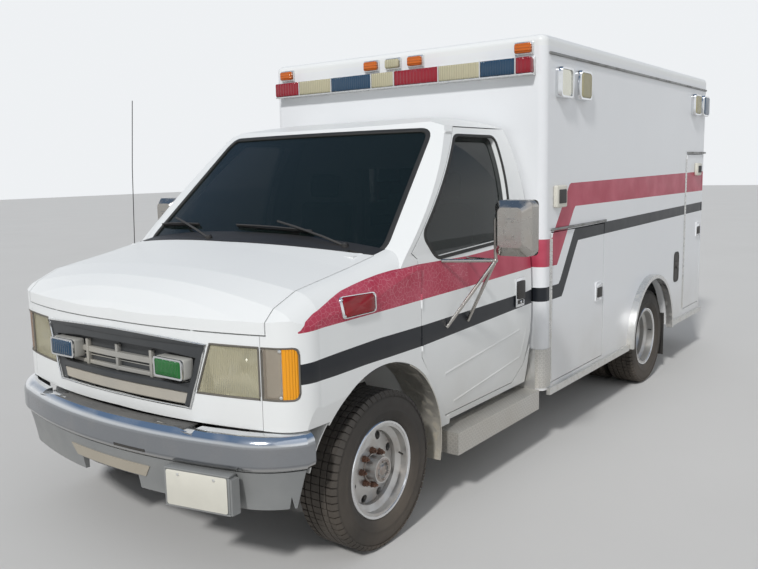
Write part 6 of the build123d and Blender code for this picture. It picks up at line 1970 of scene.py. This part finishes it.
@dataclass
class ModuleTrim:
    """Drip rails, latches, piano hinges, fixtures and tread plate on the box."""

    wall: float = MODULE_HALF
    drip: Pair = (0.012, 0.016)
    knuckle: Point = (0.026, 0.024, 0.0052)

    def block(
        self, form: Form, side: float, out: Pair, y: Pair, z: Pair, bevel: float, steps: int = 2
    ) -> None:
        """Adds a block on a side wall.

        Args:
            form: The form it goes into.
            side: The sign of the wall's X.
            out: Where it starts and ends, measured out from the wall.
            y: Its span along the wall.
            z: Its span in height.
            bevel: Its edges' radius.
            steps: Segments of the rounding.
        """
        x = sorted(side * (self.wall + reach) for reach in out)
        form.box((x[0], y[0], z[0]), (x[1], y[1], z[1]), bevel, steps)

    def rail(self, form: Form, side: float, start: float, end: float, z: float) -> None:
        """Adds a drip rail along a side wall."""
        self.block(form, side, (OFF, self.drip[0]), (start, end), (z, z + self.drip[1]), 0.004)

    def hinge(self, door: BoxDoor) -> None:
        """Adds the door's piano hinge and its latch."""
        s, y = door.side.value, MODULE_FRONT + door.front
        pitch, length, radius = self.knuckle
        count = int((door.high - door.low - 0.02) / pitch)
        knuckle = Form().lathe(
            [(0.0, 0.0), (0.0, radius), (length, radius), (length, 0.0)], (0.0, 0.0, 0.0), 10, Along.Z
        )
        row = Repeat(
            Pattern.ROW, count, (0.0, 0.0, pitch), (s * (self.wall + 0.003), y - 0.004, door.low + 0.01)
        )
        strip = Form().take(row.spread(knuckle, Look.TRIM))
        self.block(
            strip, s, (OFF, 0.002), (y - 0.03, y - 0.006), (door.low + 0.006, door.high - 0.006), 0.0005, 1
        )
        strip.build("hinge_strip_" + door.name, Look.TRIM, "trim_bright")
        half = 0.07 if door.name == "side_door" else 0.055
        middle, z = MODULE_FRONT + door.rear - 0.09, door.latch
        plate, paddle = Form(), Form()
        self.block(plate, s, (0.0045, 0.0115), (middle - half, middle + half), (z - half, z + half), 0.003)
        plate.build("latch_frame_" + door.name, Look.CHROME, "trim_bright", body=door.name)
        y = (middle - half * 0.72, middle + half * 0.72)
        self.block(paddle, s, (0.0105, 0.0175), y, (z - half * 0.7, z + half * 0.55), 0.004)
        paddle.build("latch_paddle_" + door.name, Look.BLACK, "cowl_black", body=door.name)

    def corner_plate(self) -> None:
        """Wraps tread plate round the lower front corner."""
        radius, out = 0.052, 0.0035
        plan = [(1.0155, MODULE_FRONT - OFF)]
        centre = (self.wall - radius, MODULE_FRONT + radius)
        face = [(1.0155, MODULE_FRONT - out)]
        for k in range(9):
            turn = radians(90 * k / 8)
            plan.append((centre[0] + (radius + OFF) * sin(turn), centre[1] - (radius + OFF) * cos(turn)))
            face.append((centre[0] + (radius + out) * sin(turn), centre[1] - (radius + out) * cos(turn)))
        plan.append((self.wall + OFF, MODULE_FRONT + 0.1))
        face.append((self.wall + out, MODULE_FRONT + 0.1))
        heights = spaced(0.405, 0.647, 4)
        grids = [[[Vector((x, y, z)) for x, y in line] for z in heights] for line in (face, plan)]
        Form().slab(*grids).both().build("corner_tread_plate", Look.TREAD_PLATE, "tread_plate")

    def fixture(self, name: str, y: Pair, z: Pair) -> None:
        """Adds a small cream box with a dark lens on the left wall."""
        body, lens, rim = Form(), Form(), 0.025
        self.block(body, 1, (OFF, 0.0305), y, z, 0.01, 3)
        body.build(name, Look.CREAM, "module_lens")
        self.block(lens, 1, (0.0265, 0.0365), (y[0] + rim, y[1] - rim), (z[0] + rim, z[1] - rim), 0.008, 3)
        lens.build(name + "_lens", Look.DARK, "module_lens")

    def build(self) -> None:
        """Makes the parts."""
        rails = Form()
        for side in (-1, 1):
            self.rail(rails, side, MODULE_FRONT + 0.05, MODULE_REAR - 0.05, 2.396)
            self.rail(rails, side, 2.214, MODULE_REAR - 0.01, 1.834)
        self.rail(rails, 1, -0.6, 0.3, 1.364)
        self.rail(rails, -1, -0.15, 0.66, 2.146)
        rails.box((-0.62, MODULE_REAR + OFF, 2.252), (0.62, MODULE_REAR + 0.014, 2.268), 0.004, 2)
        # The rails' dark finish is painted shade
        rails.build("drip_rails", Look.RAIL, "trim_bright")
        for door in BOX_DOORS:
            self.hinge(door)
        self.corner_plate()
        self.fixture("side_fixture_front", (-0.57, -0.42), (1.502, 1.636))
        self.fixture("side_fixture_rear", (2.46, 2.6), (1.639, 1.75))
        shape = oblong((1.93, 2.06), (0.739, 0.982), 0.045, 6)
        x = self.wall

        def layer(scale: float, out: float) -> list[Vector]:
            """The filler's outline scaled about its middle, out from the wall."""
            return [
                Vector((x + out, 1.995 + (y - 1.995) * scale, 0.8605 + (z - 0.8605) * scale)) for y,
                z in shape
            ]

        rim = [
            layer(*step) for step in ((1.08, OFF), (1.08, 0.004), (1.0, 0.006), (0.96, 0.003), (0.96, OFF))
        ]
        Form().rings(rim, closed=True).build("filler_rim", Look.RUBBER, "cowl_black")
        cap = Form().rings(
            [layer(*step) for step in ((0.97, OFF), (0.97, 0.0015), (0.9, 0.002), (0.02, 0.002))]
        )
        cap.lathe([(0.0, 0.034), (0.014, 0.032), (0.016, 0.0)], (x + 0.002, 1.995, 0.88), 28)
        cap.build("filler_panel", Look.DARK, "cowl_black")
        for side in Side:
            s, y, body = side.value, MODULE_REAR, "rear_door_" + side.tag
            a, grip = s * 0.08, ((0.001, 1.2), (0.04, 1.205), (0.045, 1.255), (0.04, 1.305), (0.001, 1.31))
            bar = Form().tube([(a, y + out, z) for out, z in grip], 0.01, 12)
            bar.box((a - 0.03, y + OFF, 1.08), (a + 0.03, y + 0.012, 1.17), 0.003, 2)
            bar.build("rear_door_handle_" + side.tag, Look.CHROME, "trim_bright", body=body)
            window = [(p, y + 0.001, q) for p, q in oblong((s * 0.1, s * 0.52), (1.47, 1.97), 0.035)]
            Form().tube(window, 0.008, 8, True).build(
                "rear_window_rubber_" + side.tag, Look.RUBBER, "cowl_black", body=body)


@dataclass(frozen=True)
class Chair:
    """Where a seat stands: its middle, its front reference, its floor and the way it faces."""

    name: str
    x: float
    y: float
    floor: float
    facing: int


CHAIRS = (
    Chair("driver", 0.48, FRONT_Y + 0.85, 0.69, 1),
    Chair("passenger", -0.48, FRONT_Y + 0.85, 0.69, 1),
    Chair("attendant", 0.06, MODULE_FRONT + 0.64, 0.742, -1),
)


@dataclass
class Seats:
    """Padded seats on their pedestals, and the bench's cushion."""

    voxel: float = 0.022
    steps: int = 14
    swell: float = 0.022

    def pad(
        self, name: str, low: Point, high: Point, lean: float, pivot: Point, kind: Look,
        replaces: Sequence[str] = ()
    ) -> None:
        """Makes a cushion: a soft block that is blown up a little by cloth under pressure.

        Args:
            name: The piece's name.
            low: The block's low corner.
            high: The block's high corner.
            lean: How far it is leant back, in degrees.
            pivot: What it leans about.
            kind: Its finish.
            replaces: CAD nodes that it stands for.
        """
        turn = Matrix.Translation(pivot) @ Matrix.Rotation(radians(lean), 4, "X")
        turn = turn @ Matrix.Translation(-Vector(pivot))
        piece = Form().box(low, high, 0.028, 3, turn).piece(name)
        show(piece)
        remesh = piece.modifiers.new("remesh", "REMESH")
        remesh.mode = "VOXEL"
        remesh.voxel_size = self.voxel
        self.bake(piece)
        rest = [v.co.copy() for v in piece.data.vertices]
        cloth = piece.modifiers.new("cloth", "CLOTH")
        cloth.settings.use_pressure = True
        cloth.settings.uniform_pressure_force = 4.0
        cloth.settings.effector_weights.gravity = 0.0
        cloth.settings.quality = 4
        scene = bpy.context.scene
        cloth.point_cache.frame_start, cloth.point_cache.frame_end = 1, self.steps
        for step in range(1, self.steps + 1):
            scene.frame_set(step)
        self.bake(piece)
        scene.frame_set(1)
        for vertex, start in zip(piece.data.vertices, rest):
            move = vertex.co - start
            if move.length > self.swell:
                vertex.co = start + move.normalized() * self.swell
        soft = piece.modifiers.new("soft", "SUBSURF")
        soft.levels = soft.render_levels = 1
        self.bake(piece)
        form = Form()
        form.mesh.from_mesh(piece.data)
        bpy.data.objects.remove(piece)
        form.build(name, kind, "seat_cloth", replaces, smooth=60.0)

    def bake(self, piece: bpy.types.Object) -> None:
        """Turns the piece's modifiers into plain mesh."""
        made = bpy.data.meshes.new_from_object(piece.evaluated_get(bpy.context.evaluated_depsgraph_get()))
        piece.modifiers.clear()
        old = piece.data
        piece.data = made
        bpy.data.meshes.remove(old)

    def build(self) -> None:
        """Makes every seat."""
        for chair in CHAIRS:
            f, x, y, z = chair.facing, chair.x, chair.y, chair.floor

            def span(a: float, b: float) -> Pair:
                """Two places along the way the seat faces, in order."""
                return tuple(sorted((y + f * a, y + f * b)))

            seat, back, head = span(-0.045, 0.415), span(0.385, 0.48), span(0.465, 0.53)
            for name, half, (near, far), low, high, lean, pivot_y, stands_for in (
                ("_cushion", 0.235, seat, 0.205, 0.32, 0.0, y, ["seats"]),
                ("_back", 0.222, back, 0.25, 0.88, -9.0 * f, y + f * 0.4, []),
                ("_headrest", 0.12, head, 0.885, 1.05, -9.0 * f, head[0], []),
            ):
                pivot = (x, pivot_y, z + low if lean else z)
                corners = (x - half, near, z + low), (x + half, far, z + high)
                self.pad(chair.name + name, *corners, lean, pivot, Look.CLOTH, stands_for)
            foot, tray = span(0.02, 0.36), span(0.0, 0.4)
            base = Form().box((x - 0.17, foot[0], z + 0.001), (x + 0.17, foot[1], z + 0.15), 0.012, 2)
            base.box((x - 0.225, tray[0], z + 0.15), (x + 0.225, tray[1], z + 0.195), 0.01, 2)
            base.build(chair.name + "_pedestal", Look.INTERIOR, "interior_grey")
        y0, y1 = MODULE_FRONT + 1.425, MODULE_FRONT + 2.815
        self.pad("bench_cushion", (-0.972, y0, 1.15), (-0.505, y1, 1.215), 0.0, (0, 0, 0), Look.VINYL)


# Floor, light and camera


@dataclass
class Studio:
    """A pale floor, soft light from behind the camera, and the camera itself."""

    position: Point = (3.0846, -5.0503, 1.7532)
    yaw: float = -36.67
    pitch: float = -8.23
    roll: float = -1.26
    focal: float = 793.75
    image: Pair = (758.0, 569.0)

    def camera(self) -> None:
        """Places the camera as the photograph was taken."""
        yaw, pitch, roll = radians(self.yaw), radians(self.pitch), radians(self.roll)
        forward = Vector((sin(yaw) * cos(pitch), cos(yaw) * cos(pitch), sin(pitch)))
        right = forward.cross(Vector((0, 0, 1))).normalized()
        up = right.cross(forward)
        across = right * cos(roll) + up * sin(roll)
        above = up * cos(roll) - right * sin(roll)
        data = bpy.data.cameras.new("camera")
        data.sensor_width = 36.0
        data.lens = self.focal / self.image[0] * 36.0
        data.clip_end = 200.0
        camera = bpy.data.objects.new("camera", data)
        turn = Matrix((across, above, -forward)).transposed().to_4x4()
        camera.matrix_world = Matrix.Translation(self.position) @ turn
        show(camera)
        bpy.context.scene.camera = camera

    def floor(self) -> None:
        """Lays the floor as a plain pale sheet."""
        data = bpy.data.meshes.new("floor")
        data.from_pydata([(-60, -60, 0), (60, -60, 0), (60, 60, 0), (-60, 60, 0)], [], [(0, 1, 2, 3)])
        floor = bpy.data.objects.new("floor", data)
        graph = Graph("floor_pale")
        graph.set(
            Base_Color=graph.blend(graph.noise(0.7), (0.6, 0.59, 0.57), (0.64, 0.63, 0.61)), Roughness=0.9
        )
        data.materials.append(graph.material)
        show(floor)

    def sky(self) -> None:
        """A plain world that lights evenly, and a pale backdrop where it is seen or reflected."""
        world = bpy.data.worlds.new("studio")
        bpy.context.scene.world = world
        world.use_nodes = True
        tree = world.node_tree
        add, link = tree.nodes.new, tree.links.new
        back = tree.nodes["Background"]
        back.inputs[0].default_value = (0.8, 0.84, 0.9, 1.0)
        back.inputs[1].default_value = 0.5
        place, split = add("ShaderNodeTexCoord"), add("ShaderNodeSeparateXYZ")
        ramp = add("ShaderNodeValToRGB")
        link(place.outputs["Generated"], split.inputs[0])
        link(split.outputs[2], ramp.inputs[0])
        ends = ramp.color_ramp.elements
        ends[0].position, ends[0].color = 0.2, (0.86, 0.88, 0.9, 1.0)
        ends[1].position, ends[1].color = 0.5, (0.13, 0.2, 0.32, 1.0)
        seen = add("ShaderNodeBackground")
        link(ramp.outputs[0], seen.inputs[0])
        path, mix = add("ShaderNodeLightPath"), add("ShaderNodeMixShader")
        shown = path.outputs["Is Camera Ray"]
        for name in ("Is Glossy Ray", "Is Transmission Ray"):
            either = add("ShaderNodeMath")
            either.operation = "MAXIMUM"
            link(shown, either.inputs[0])
            link(path.outputs[name], either.inputs[1])
            shown = either.outputs[0]
        link(shown, mix.inputs[0])
        link(back.outputs[0], mix.inputs[1])
        link(seen.outputs[0], mix.inputs[2])
        link(mix.outputs[0], tree.nodes["World Output"].inputs[0])

    def lamps(self) -> None:
        """A soft key from behind the camera and a weak fill from the other side."""
        for name, strength, angle, turn in (
            ("key", 2.1, 6.0, (50.0, 0.0, 14.0)), ("fill", 0.3, 60.0, (60.0, 0.0, 70.0))
        ):
            data = bpy.data.lights.new(name, "SUN")
            data.energy = strength
            data.angle = radians(angle)
            lamp = bpy.data.objects.new(name, data)
            lamp.rotation_euler = Euler([radians(v) for v in turn])
            show(lamp)

    def build(self) -> None:
        """Sets the stage."""
        self.camera()
        self.floor()
        self.sky()
        self.lamps()
        bpy.context.scene.view_settings.view_transform = "Standard"


def main() -> None:
    """Builds every sub-assembly in order and reports each."""
    logging.basicConfig(level=logging.INFO, format="%(message)s")
    dress_nodes()
    for part in (
        Wheels(), LightBar(), ModuleLamps(), Headlamps(), CornerLamps(), GrilleLights(), GrilleTrim(),
        BumperTrim(),
        WindscreenTrim(), CabDoorTrim(), MirrorTrim(), FenderLamps(), ModuleTrim(), Seats(), Studio(),
    ):
        part.build()
        LOG.info("built %s", type(part).__name__)


if __name__ == "__main__":
    main()
